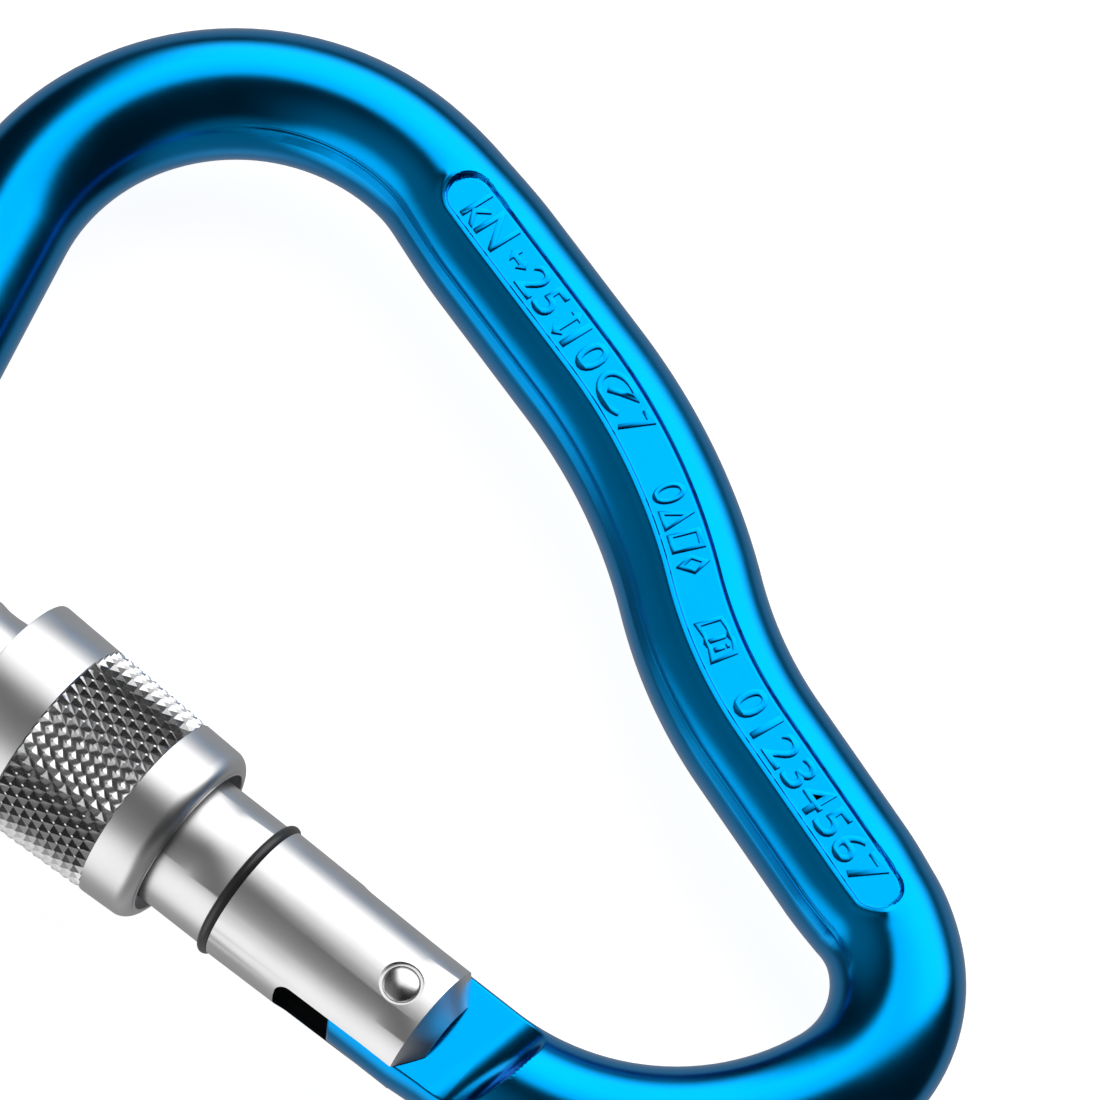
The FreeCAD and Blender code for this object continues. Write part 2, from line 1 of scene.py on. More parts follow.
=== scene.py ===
import math
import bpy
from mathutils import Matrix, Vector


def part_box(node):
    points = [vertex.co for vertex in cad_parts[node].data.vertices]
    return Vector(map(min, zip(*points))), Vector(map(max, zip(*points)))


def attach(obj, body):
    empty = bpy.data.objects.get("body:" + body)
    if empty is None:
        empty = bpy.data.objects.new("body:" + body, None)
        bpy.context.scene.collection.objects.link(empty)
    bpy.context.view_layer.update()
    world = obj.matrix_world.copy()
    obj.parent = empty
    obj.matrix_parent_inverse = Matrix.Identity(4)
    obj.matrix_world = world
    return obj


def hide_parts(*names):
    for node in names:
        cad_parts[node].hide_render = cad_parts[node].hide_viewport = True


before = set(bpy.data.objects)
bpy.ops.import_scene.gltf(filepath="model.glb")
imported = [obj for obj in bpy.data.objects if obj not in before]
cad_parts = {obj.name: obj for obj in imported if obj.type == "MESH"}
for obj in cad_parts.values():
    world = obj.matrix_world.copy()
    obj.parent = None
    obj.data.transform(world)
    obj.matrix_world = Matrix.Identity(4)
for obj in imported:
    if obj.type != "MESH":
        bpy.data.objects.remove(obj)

from types import SimpleNamespace

import bmesh
import bpy
import numpy as np
from bpy.props import FloatProperty, FloatVectorProperty, IntProperty, PointerProperty, StringProperty
from mathutils import Matrix, Vector

bl_info = {
    "name": "Locking carabiner",
    "version": (1, 0, 0),
    "blender": (4, 5, 0),
    "location": "3D View > Sidebar > Carabiner",
    "description": "Makes the pieces of a pear-shaped screw-gate carabiner around its frame",
    "category": "Add Mesh",
}

MM = 0.001
RIVET = (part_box("hinge_rivet")[0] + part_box("hinge_rivet")[1]) / 2
FAR = 30.0                     # mm, past any barrel, for the blocks that cut slots
RING_SEGMENTS = 144            # round a turned piece
KNURL_START, KNURL_LENGTH = 4.8, 9.7   # mm, along the sleeve from its hinge end
KNURL_ROWS = 10                # half pitches of the diamonds along the knurl


def from_rivet(node, corner, axis):
    """A coordinate of a CAD node's box, measured from the hinge rivet, in metres."""
    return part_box(node)[corner][axis] - RIVET[axis]


def linear(code):
    """The linear colour of an sRGB hex code: the straight part below 0.04045, the 2.4 power above."""
    value = np.array([int(code[k:k + 2], 16) for k in (1, 3, 5)]) / 255
    low, high = value / 12.92, ((value + 0.055) / 1.055) ** 2.4
    return tuple(float(v) for v in np.where(value <= 0.04045, low, high))


def size(label, description, millimetres):
    """A length that a user may change."""
    return FloatProperty(name=label, description=description, default=millimetres * MM,
                         unit="LENGTH", subtype="DISTANCE", precision=5)


def colour(label, description, code):
    """A colour that a user may change."""
    return FloatVectorProperty(name=label, description=description, default=linear(code),
                               subtype="COLOR", size=3, min=0, max=1)


class BodySizes(bpy.types.PropertyGroup):
    rod_radius: size("Rod radius", "Round rod of the nose, basket and hinge end", 5.75)
    spine_half_width: size("Spine half width", "Flattened spine, in the carabiner's plane", 6.23)
    spine_half_thickness: size("Spine half thickness", "Flattened spine, across the plane", 5.5)
    tongue: size("Tongue half thickness", "The milled flats in the gate's slots", 2.65)
    tongue_swell: size("Tongue swell", "How far the tongue's outer side stands out of the round rod", 0.25)
    cutter_radius: size("Cutter radius", "Concave shoulder at the end of each flat", 4.05)
    panel_half_width: size("Panel half width", "Recessed panel for the marks", 2.2)
    panel_floor: size("Panel floor height", "Above the carabiner's plane", 5.0)
    panel_rim: size("Panel rim height", "Ridge that the die leaves along the panel", 0.1)
    edge_round: size("Edge round", "Tumbled edges of the milled flats", 0.22)


class MarkSizes(bpy.types.PropertyGroup):
    height: size("Mark height", "Capital height of the raised marks", 3.2)
    relief: size("Mark relief", "Height of the marks above the panel's floor", 0.16)
    stroke: size("Stroke width", "Width of the drawn symbols' lines", 0.42)
    bevel: size("Mark bevel", "Rounded top edge of the marks", 0.035)
    strength: StringProperty(name="Number", description="Plain digits in the lower panel",
                             default="01234567")


class GateSizes(bpy.types.PropertyGroup):
    barrel_radius: size("Barrel radius", "Above the O-ring, where the sleeve runs", 6.15)
    thread_pitch: size("Thread pitch", "Travel of the sleeve for one turn", 1.5)
    edge_round: size("Edge round", "Tumbled edges of the barrel", 0.1)


class SleeveSizes(bpy.types.PropertyGroup):
    knurl_start: size("Knurl start", "From the sleeve's hinge end", KNURL_START)
    knurl_length: size("Knurl length", "Along the sleeve", KNURL_LENGTH)
    knurl_depth: size("Knurl depth", "From tip to groove", 0.4)
    knurl_starts: IntProperty(name="Knurl starts", description="Diamonds round the sleeve",
                              default=48, min=12, max=120)


class Finishes(bpy.types.PropertyGroup):
    anodised: colour("Anodised", "Blue dye of the body", "#0096DE")
    aluminium: colour("Aluminium", "Clear-anodised gate and sleeve", "#DCDCDD")
    steel: colour("Steel", "Rivet and pin", "#CFCFD0")
    rubber: colour("Rubber", "O-ring", "#2C2C2D")
    floor: colour("Floor", "Studio floor", "#B4B4B4")


# ---------------------------------------------------------------- meshes
def placed(points):
    """Millimetres from the rivet to metres in the frame's axes."""
    return np.asarray(points, float) * MM + np.array(RIVET)


def new_mesh(name, points, faces):
    """A mesh from points in millimetres and lists of corners."""
    mesh = bpy.data.meshes.new(name)
    mesh.from_pydata(placed(points), [], faces)
    mesh.update()
    return mesh


def new_object(name, mesh):
    made = bpy.data.objects.new(name, mesh)
    bpy.context.scene.collection.objects.link(made)
    return made


def add_piece(name, mesh, body, material, stands_for=(), sharp=32):
    """A finished piece: smooth faces with hard edges past an angle, riding on its CAD body."""
    mesh.materials.clear()
    mesh.materials.append(material)
    mesh.shade_smooth()
    mesh.set_sharp_from_angle(angle=math.radians(sharp))
    piece = new_object(name, mesh)
    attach(piece, body)
    if stands_for:
        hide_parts(*stands_for)
    return piece


def with_cuts(mesh, cutters, bevel=0.0, angle=40):
    """The mesh less its cutters, with its sharp edges rounded where bevel is given."""
    work = new_object("work", mesh)
    tools = [new_object("tool", tool) for tool in cutters]
    for tool in tools:
        modifier = work.modifiers.new("cut", "BOOLEAN")
        modifier.operation = "DIFFERENCE"
        modifier.solver = "EXACT"
        modifier.object = tool
    if bevel:
        modifier = work.modifiers.new("edges", "BEVEL")
        modifier.width = bevel * MM
        modifier.segments = 2
        modifier.limit_method = "ANGLE"
        modifier.angle_limit = math.radians(angle)
        modifier.use_clamp_overlap = True
    made = bpy.data.meshes.new_from_object(work.evaluated_get(bpy.context.evaluated_depsgraph_get()))
    for item in [work] + tools:
        data = item.data
        bpy.data.objects.remove(item)
        bpy.data.meshes.remove(data)
    return made


def swept(rings):
    """Faces of a closed sweep: quads between neighbouring rings and one face over each end."""
    count, around = rings.shape[:2]
    index = np.arange(count * around).reshape(count, around)
    after = np.roll(index, -1, axis=1)
    quads = np.stack([index[:-1], after[:-1], after[1:], index[1:]], axis=-1).reshape(-1, 4)
    return quads.tolist() + [index[0, ::-1].tolist(), index[-1].tolist()]


def turned(name, profile, segments=RING_SEGMENTS, ripple=None):
    """A profile of (radius, height) turned round the gate's axis.

    A point is (r cos a, height, r sin a) for angles a spaced evenly. A profile that starts
    and ends on the axis is closed by a point at each end, and any other is closed on itself.
    Ripple, if given, is added to the radius and depends on the row and the angle.
    """
    profile = np.asarray(profile, float)
    poles = profile[0, 0] < 1e-9
    rows = profile[1:-1] if poles else profile
    angle = np.linspace(0, 2 * np.pi, segments, endpoint=False)
    radius = rows[:, :1] + (0 if ripple is None else ripple(rows, angle))
    height = np.broadcast_to(rows[:, 1:], (len(rows), segments))
    radius = np.broadcast_to(radius, height.shape)
    points = np.stack([radius * np.cos(angle), height, radius * np.sin(angle)], -1).reshape(-1, 3)
    index = np.arange(len(rows) * segments).reshape(len(rows), segments)
    if not poles:
        index = np.vstack([index, index[:1]])
    faces = row_faces(index)
    if poles:
        low, high = len(points), len(points) + 1
        points = np.vstack([points, [0, profile[0, 1], 0], [0, profile[-1, 1], 0]])
        first, last = index[0], index[-1]
        faces += np.stack([np.full(segments, low), first, np.roll(first, -1)], 1).tolist()
        faces += np.stack([np.full(segments, high), np.roll(last, -1), last], 1).tolist()
    return new_mesh(name, points, faces)


def rod_along_z(radius, low, high, height, segments=64):
    """A cutter: a plain rod across the gate, at a height above the rivet."""
    angle = np.linspace(0, 2 * np.pi, segments, endpoint=False)
    circle = np.stack([radius * np.cos(angle), height + radius * np.sin(angle)], 1)
    rings = np.stack([np.column_stack([circle, np.full(segments, z)]) for z in (low, high)])
    return new_mesh("tool", rings.reshape(-1, 3), swept(rings))


def slot_block(low, high, half, corner, corner_end):
    """A cutter: a slot right across the gate, whose blind end has two round corners.

    Its outline in height and depth is a rectangle, with a quarter circle in place of each
    corner at the blind end.
    """
    sign = 1 if corner_end == "high" else -1
    blind, mouth = (high, low) if sign > 0 else (low, high)
    turn = np.radians(np.linspace(0, 90, 9))
    side = half - corner + corner * np.cos(turn)
    reach = blind - sign * corner + sign * corner * np.sin(turn)
    half_outline = np.column_stack([reach, side])
    outline = np.vstack([[[mouth, half]], half_outline, half_outline[::-1] * [1, -1], [[mouth, -half]]])
    if sign > 0:
        outline = outline[::-1]
    rings = np.stack([np.column_stack([np.full(len(outline), x), outline]) for x in (-FAR, FAR)])
    return new_mesh("tool", rings.reshape(-1, 3), swept(rings))


# ---------------------------------------------------------------- the bent rod
NOSE, NOSE_ARC, TOP, BASKET, UPPER, BEND, RETURN, LOWER, CORNER, FOOT, HINGE = range(11)
NOSE_SHOULDER, TONGUE_TIP, CAM_HEIGHT, HINGE_SHOULDER = 52.4, 46.0, 6.0, -9.0
SHOULDER_SKEW = math.radians(9.5)
TIP_ROUND = 1.5                # quarter circle at the nose tongue's tip
BEVEL_LENGTH, BEVEL_WIDTH = 3.0, 5.0   # of the hinge tongue's outer corner, along and across
CAM_LIFT, GATE_SWING = 1.2, 42         # of the cam, mm per radian and degrees
RIVET_RADIUS, SINK_RADIUS, SINK_DEPTH = 1.6, 1.9, 0.5
PIN_RADIUS, PIN_HEIGHT = 1.4, 49.2     # the latch pin, and its height above the rivet
NOTCH_RADIUS, MOUTH_HALF_WIDTH, MOUTH_REACH = 1.8, 1.7, 11.0
MOUTH_SLOPE = math.radians(-4)
RIVET_CLEARANCE = 0.05
PANEL_INSETS = 2.75, 0.45     # from the spine's ends to the centres of the panel's round ends


def rod_path():
    """The rod's centreline, from the nose tongue's tip clockwise to the hinge tongue's end.

    Each run turns evenly along its length, and is straight where its turn is nought. Its chord
    is the length times sin(turn/2)/(turn/2), along the heading half way. The two free straights
    solve the two equations that bring the last point onto the gate's axis.
    """
    turn = np.radians([0, -75.6, 0, -120.4, 0, -22.4, 20.1, 0, -91.3, 0, 0])
    turn[FOOT] = -2 * np.pi - turn.sum()
    radius = np.array([0, 8.9, 0, 22.2, 0, 57.8, 41.5, 0, 11.7, 26.1, 0])
    length = np.abs(turn) * radius
    length[[NOSE, UPPER, HINGE]] = 9.7, 20.3, 14.2
    heading = np.pi / 2 + np.cumsum(turn) - turn
    middle = heading + turn / 2
    chord = np.sinc(turn / 2 / np.pi)[:, None] * np.column_stack([np.cos(middle), np.sin(middle)])
    miss = np.array([0, CAM_HEIGHT - TONGUE_TIP]) - length @ chord
    length[[TOP, LOWER]] = np.linalg.solve(chord[[TOP, LOWER]].T, miss)
    point = np.vstack([[0, TONGUE_TIP], [0, TONGUE_TIP] + np.cumsum(length[:, None] * chord, axis=0)])
    start = np.concatenate([[0], np.cumsum(length)])
    return SimpleNamespace(turn=turn, length=length, heading=heading, point=point, start=start)


def on_path(path, along):
    """Points and headings of the centreline at distances along it."""
    run = np.clip(np.searchsorted(path.start, along, side="right") - 1, 0, len(path.length) - 1)
    step = along - path.start[run]
    half = path.turn[run] * step / path.length[run] / 2
    angle = path.heading[run] + half
    chord = (step * np.sinc(half / np.pi))[:, None]
    return path.point[run] + chord * np.column_stack([np.cos(angle), np.sin(angle)]), angle + half


def rod_stations(path):
    """Distances along the rod at which it has a section, closest at the milled and pressed edges."""
    s = path.start
    lower_end, hinge = s[CORNER], s[HINGE]
    bevel = s[-1] - BEVEL_LENGTH
    parts = [
        np.linspace(0, 1.6, 12), np.linspace(1.6, 6.2, 9), np.linspace(6.2, 10.8, 26),
        np.linspace(10.8, s[TOP], 13), np.linspace(s[TOP], s[BASKET], 12),
        np.linspace(s[BASKET], s[UPPER] - 3, 38), np.linspace(s[UPPER] - 3, s[UPPER] + 0.5, 6),
        np.linspace(s[UPPER] + 0.2, s[UPPER] + 3.1, 39),
        np.linspace(s[UPPER] + 3.1, lower_end - 0.7, 104),
        np.linspace(lower_end - 0.7, lower_end + 2.2, 39),
        np.linspace(lower_end + 2.2, s[FOOT], 26), np.linspace(s[FOOT], hinge - 5.8, 22),
        np.linspace(hinge - 5.8, hinge - 0.2, 42), np.linspace(hinge - 0.2, hinge + 11.4, 16),
        hinge + np.linspace(11.4, 14.2, 9), bevel + np.linspace(-0.3, 0.5, 9),
    ]
    every = np.unique(np.round(np.concatenate(parts), 5))
    return every[np.concatenate([[True], np.diff(every) > 0.004])]


def rod_columns(b):
    """Section angles from the outer side (0) over the top to the inner side (pi).

    They are set by where they fall across the flattened spine: even over the panel, close
    together at the panel's walls, at the tongue's edges and at the die's parting line.
    """
    wall = b.panel_half_width + np.array([-0.3, -0.22, -0.15, -0.08, -0.01, 0.06, 0.14, 0.24, 0.36, 0.5])
    crease = math.sqrt(b.rod_radius ** 2 - b.tongue ** 2) * b.spine_half_width / b.rod_radius
    side = np.concatenate([
        np.arange(0, wall[0] - 0.05, 0.11), wall, np.arange(wall[-1] + 0.17, crease - 0.35, 0.18),
        crease + np.array([-0.24, -0.12, -0.04, 0.04, 0.12, 0.24]),
    ])
    angle = np.arccos((side / b.spine_half_width) ** (SPINE_POWER / 2))
    rim = np.linspace(0, angle[-1], 9)[:-1]
    outer = np.concatenate([rim, angle[::-1][:-1]])
    inner = np.pi - np.concatenate([outer, [np.pi / 2]])
    band = np.pi - np.radians(SEAM)
    near = np.radians([-2.4, -1.6, -0.8, 0, 0.8, 1.6, 2.4])
    return np.unique(np.round(np.concatenate([outer, inner, band[0] + near, band[1] + near]), 6))


SPINE_POWER = 2.25             # of the spine's section, between an ellipse and a rounded box
SEAM = (22.7, 35.5)            # degrees above the plane, the edges of the flat left by the die


def smooth_step(value):
    """An S-shaped climb from 0 to 1."""
    value = np.clip(value, 0, 1)
    return value * value * (3 - 2 * value)


def soft_least(first, second, width):
    """The smaller of two heights, with their crossing rounded over a width."""
    near = np.clip(width - np.abs(first - second), 0, None) / width
    return np.minimum(first, second) - near * near * width / 4


def milled_height(b, x, y, along, path):
    """Height of the flats and their concave shoulders above the plane, far above elsewhere.

    Past a shoulder the height is that of a circle of the cutter's radius whose lowest point
    is on the flat. The hinge's shoulder is turned about its inner end. The nose tongue's tip
    is a quarter circle down from the flat.
    """
    centre, radius = b.tongue + b.cutter_radius, b.cutter_radius
    turned_y = (HINGE_SHOULDER - y) * math.cos(SHOULDER_SKEW) + (b.rod_radius - x) * math.sin(SHOULDER_SKEW)
    past_hinge = np.clip(turned_y, 0, radius)
    past_nose = np.clip(y - NOSE_SHOULDER, 0, radius)
    at_hinge = along > path.start[HINGE] - 6.5
    at_nose = along < path.start[TOP]
    past = np.where(at_hinge, past_hinge, np.where(at_nose, past_nose, radius))
    height = centre - np.sqrt(radius ** 2 - past ** 2)
    height = np.where(past > radius - 0.02, FAR, height)
    tip = np.clip(TONGUE_TIP + TIP_ROUND - y, 0, TIP_ROUND)
    return np.where(at_nose, height - TIP_ROUND + np.sqrt(TIP_ROUND ** 2 - tip ** 2), height)


def panel_edge(path, along, across):
    """Distance outside the panel's round-ended outline, negative inside it."""
    low, high = path.start[UPPER] + PANEL_INSETS[0], path.start[CORNER] - PANEL_INSETS[1]
    beyond = np.clip(low - along, 0, None) + np.clip(along - high, 0, None)
    return np.hypot(across, beyond)


def rod_surface(b, path):
    """Points of the bent rod, as rings of one section at each distance along it.

    A section is a superellipse: across = width cos^(2/n) and up = height sin^(2/n) of the
    column's angle, with n from 2 on the round rod to 2.25 on the flattened spine. The heights
    are then lowered to the milled flats and the panel's floor, and the tongue's end is drawn
    in to its outline.
    """
    along = rod_stations(path)[:, None]
    angle = rod_columns(b)[None, :]
    start, end = path.start[UPPER] - 4.0, path.start[CORNER] - 4.5
    flat = smooth_step((along - start) / 11) * (1 - smooth_step((along - end) / 9))
    wide = b.rod_radius + flat * (b.spine_half_width - b.rod_radius)
    thick = b.rod_radius + flat * (b.spine_half_thickness - b.rod_radius)
    power = 2 / (2 + flat * (SPINE_POWER - 2))
    cosine = np.cos(angle)
    across = wide * np.sign(cosine) * np.abs(cosine) ** power
    up = thick * np.abs(np.sin(angle)) ** power
    across, up = parting_flat(path, along, angle, across, up, wide, thick, power)

    centre, heading = on_path(path, along[:, 0])
    heading = heading[:, None]
    x = centre[:, :1] - across * np.sin(heading)
    y = centre[:, 1:] + across * np.cos(heading)
    up = soft_least(up, milled_height(b, x, y, along, path), b.edge_round)

    outside = panel_edge(path, along, across) - b.panel_half_width
    on_spine = (along > path.start[UPPER] - 4) & (along < path.start[CORNER] + 4)
    inner_side = smooth_step(0.5 - across / 1.5)
    rim = b.panel_rim * inner_side * np.exp(-((outside - 0.4) / 0.3) ** 2)
    inside = smooth_step(-outside / 0.26)
    up = np.where(on_spine, up + rim, up)
    trench = 0.1 * (1 - inner_side) * np.exp(-((outside + 0.2) / 0.1) ** 2)
    up = np.where(on_spine, up + inside * (b.panel_floor - up) - trench, up)

    across = tongue_outline(b, path, along, across, up)
    x = centre[:, :1] - across * np.sin(heading)
    y = centre[:, 1:] + across * np.cos(heading)
    up[:, [0, -1]] = 0
    top = np.stack([x, y, up], axis=-1)
    bottom = top[:, -2:0:-1] * [1, 1, -1]
    return np.concatenate([top, bottom], axis=1)


def parting_flat(path, along, angle, across, up, wide, thick, power):
    """The narrow flat that the die leaves on the spine's inner side.

    Between its two edge angles the section follows the chord between the edge points, in
    place of the curve, and a fine groove runs along the upper edge.
    """
    reach = along - path.start[UPPER]
    there = smooth_step((reach + 22) / 6) * (1 - smooth_step((reach - 70) / 11))
    low, high = np.radians(SEAM)
    above = np.pi - angle
    within = (above > low) & (above < high)
    ends = [(-wide * np.cos(e) ** power, thick * np.sin(e) ** power) for e in (low, high)]
    share = np.where(within, (np.sin(above) - math.sin(low)) / (math.sin(high) - math.sin(low)), 0)
    chord_across = ends[0][0] + share * (ends[1][0] - ends[0][0])
    chord_up = ends[0][1] + share * (ends[1][1] - ends[0][1])
    across = np.where(within, across + there * (chord_across - across), across)
    up = np.where(within, up + there * (chord_up - up), up)
    groove = 1 - 0.02 * there * np.exp(-((above - high) / math.radians(1.3)) ** 2)
    return across * groove, up * groove


def tongue_outline(b, path, along, across, up):
    """Draws the hinge tongue's end in to its outline, seen along the rivet.

    The outer corner is bevelled, 5 mm across and 3 mm along, with a round start. The inner side
    follows the cam, whose points at each gate angle are (lift, height + lift x angle) turned
    back by that angle.
    """
    y = CAM_HEIGHT + along - path.start[-1]
    lift, swing = CAM_LIFT, np.radians(np.linspace(0, GATE_SWING, 15))
    reach = CAM_HEIGHT + lift * swing
    cam_x = lift * np.cos(swing) + reach * np.sin(swing)
    cam_y = reach * np.cos(swing) - lift * np.sin(swing)
    cam_x, cam_y = np.append(cam_x, 5.75), np.append(cam_y, cam_y[-1] - (5.75 - cam_x[-1]))
    inner = np.interp(y, cam_y[::-1], cam_x[::-1])
    bevelled = b.rod_radius - (y - CAM_HEIGHT + BEVEL_LENGTH) * BEVEL_WIDTH / BEVEL_LENGTH
    outer = soft_least(np.full_like(y, b.rod_radius), bevelled, 0.5)
    swell = b.tongue_swell * smooth_step((y + 6.5) / 4)
    across = np.where(across > 0, across + swell * (across / b.rod_radius) ** 4, across)
    limit = np.where(across > 0, outer + swell, inner)
    crease = math.sqrt(b.rod_radius ** 2 - b.tongue ** 2)
    drawn = np.where(
        np.abs(across) <= crease, across * np.minimum(1, limit / crease),
        np.sign(across) * np.minimum(np.abs(across), limit),
    )
    return np.where(along > path.start[HINGE], drawn, across)


class CARABINER_OT_body(bpy.types.Operator):
    """Make the bent, forged and anodised body"""

    bl_idname = "carabiner.body"
    bl_label = "Body"

    def execute(self, context):
        b = in_mm(context.scene.carabiner_body)
        path = rod_path()
        rings = rod_surface(b, path)
        mesh = new_mesh("body", rings.reshape(-1, 3), swept(rings))
        hole = rod_along_z(RIVET_RADIUS + RIVET_CLEARANCE, -FAR, FAR, 0)
        notch = rod_along_z(NOTCH_RADIUS, -FAR, FAR, PIN_HEIGHT)
        cosine, sine = math.cos(MOUTH_SLOPE), math.sin(MOUTH_SLOPE)
        corners = np.array([[0, -1], [1, -1], [1, 1], [0, 1]]) * [MOUTH_REACH, MOUTH_HALF_WIDTH]
        corners = corners @ np.array([[cosine, sine], [-sine, cosine]]) + [0, PIN_HEIGHT]
        ring = [np.column_stack([corners, np.full(4, z)]) for z in (-FAR, FAR)]
        mouth = new_mesh("tool", np.concatenate(ring), swept(np.stack(ring)))
        mesh = with_cuts(mesh, [hole, notch, mouth])
        add_piece("carabiner_body", mesh, "frame",
                  anodised_aluminium(context.scene.carabiner_finish), ["body"], sharp=50)
        return {"FINISHED"}


# ---------------------------------------------------------------- marks
def line_shape(points, width, closed=False):
    """Outlines of a drawn line: the points moved to each side by half the width.

    Each point moves along the mean of its neighbours' normals, longer where the line bends.
    """
    points = np.asarray(points, float)
    if closed:
        before, after = np.roll(points, 1, axis=0), np.roll(points, -1, axis=0)
    else:
        before = np.vstack([points[:1] * 2 - points[1:2], points[:-1]])
        after = np.vstack([points[1:], points[-1:] * 2 - points[-2:-1]])
    first, second = points - before, after - points
    first /= np.linalg.norm(first, axis=1, keepdims=True)
    second /= np.linalg.norm(second, axis=1, keepdims=True)
    normal = np.column_stack([-(first + second)[:, 1], (first + second)[:, 0]])
    normal /= np.linalg.norm(normal, axis=1, keepdims=True)
    stretch = 1 / np.maximum(0.4, normal[:, 0] * -first[:, 1] + normal[:, 1] * first[:, 0])
    offset = normal * stretch[:, None] * width / 2
    if closed:
        return [points + offset, points - offset]
    return [np.vstack([points + offset, (points - offset)[::-1]])]


def arc_points(centre, radii, start, end, count):
    """Points of an ellipse's arc between two angles in degrees."""
    angle = np.radians(np.linspace(start, end, count))
    return np.column_stack([centre[0] + radii[0] * np.cos(angle), centre[1] + radii[1] * np.sin(angle)])


def flat_shape(outlines, relief, bevel):
    """Points and faces of outlines filled and raised, with a bevelled top edge."""
    curve = bpy.data.curves.new("mark", "CURVE")
    curve.dimensions = "2D"
    curve.fill_mode = "BOTH"
    for outline in outlines:
        spline = curve.splines.new("POLY")
        spline.points.add(len(outline) - 1)
        corners = np.column_stack([outline, np.zeros(len(outline)), np.ones(len(outline))])
        spline.points.foreach_set("co", corners.ravel())
        spline.use_cyclic_u = True
    return raised(curve, relief, bevel)


def digits(text, height, relief, bevel):
    """Points and faces of plain characters of a capital height, raised with a bevelled edge."""
    curve = bpy.data.curves.new("mark", "FONT")
    curve.body = text
    curve.size = height / 0.72
    curve.offset = 0.008 * height
    curve.space_character = 1.05
    curve.resolution_u = 4
    return raised(curve, relief, bevel)


def raised(curve, relief, bevel):
    """A curve's filled shape as a closed mesh, from below the floor to its relief."""
    curve.extrude = relief
    curve.bevel_depth = bevel
    curve.bevel_resolution = 1
    source = new_object("mark", curve)
    bpy.context.view_layer.update()
    mesh = bpy.data.meshes.new_from_object(source.evaluated_get(bpy.context.evaluated_depsgraph_get()))
    shape = bmesh.new()
    shape.from_mesh(mesh)
    bmesh.ops.remove_doubles(shape, verts=shape.verts, dist=1e-4)
    bmesh.ops.recalc_face_normals(shape, faces=shape.faces)
    shape.to_mesh(mesh)
    shape.free()
    points = np.zeros(len(mesh.vertices) * 3)
    mesh.vertices.foreach_get("co", points)
    faces = [list(face.vertices) for face in mesh.polygons]
    bpy.data.objects.remove(source)
    bpy.data.curves.remove(curve)
    bpy.data.meshes.remove(mesh)
    return points.reshape(-1, 3), faces


def laid_along(path, b, shape, start, end, height=None):
    """A flat shape bent along the panel between two distances from the spine's start.

    Its length is fitted between them and its middle line follows the rod's centreline: a
    point is the centreline's point at its length, moved to the outer side by its height.
    """
    points, faces = shape
    points = points.copy()
    low, high = points.min(axis=0), points.max(axis=0)
    points[:, 0] = start + (points[:, 0] - low[0]) * (end - start) / (high[0] - low[0])
    scale = 1 if height is None else height / (high[1] - low[1])
    points[:, 1] = (points[:, 1] - (low[1] + high[1]) / 2) * scale
    centre, heading = on_path(path, path.start[UPPER] + points[:, 0])
    x = centre[:, 0] - points[:, 1] * np.sin(heading)
    y = centre[:, 1] + points[:, 1] * np.cos(heading)
    return np.column_stack([x, y, points[:, 2] + b.panel_floor]), faces


def merged(shapes):
    """Points and faces of several shapes as one."""
    counts = np.cumsum([0] + [len(points) for points, _ in shapes])
    faces = [[k + first for k in face] for (_, part), first in zip(shapes, counts) for face in part]
    return np.vstack([points for points, _ in shapes]), faces


def double_arrow(length, head, stroke):
    """Outline of a line with a solid arrowhead at each end."""
    half, neck = length / 2, stroke / 2
    quarter = np.array([(half, 0), (half - head, head), (half - head, neck)])
    upper = np.vstack([quarter, quarter[::-1] * [-1, 1]])
    return np.vstack([upper, upper[-2:0:-1] * [1, -1]])


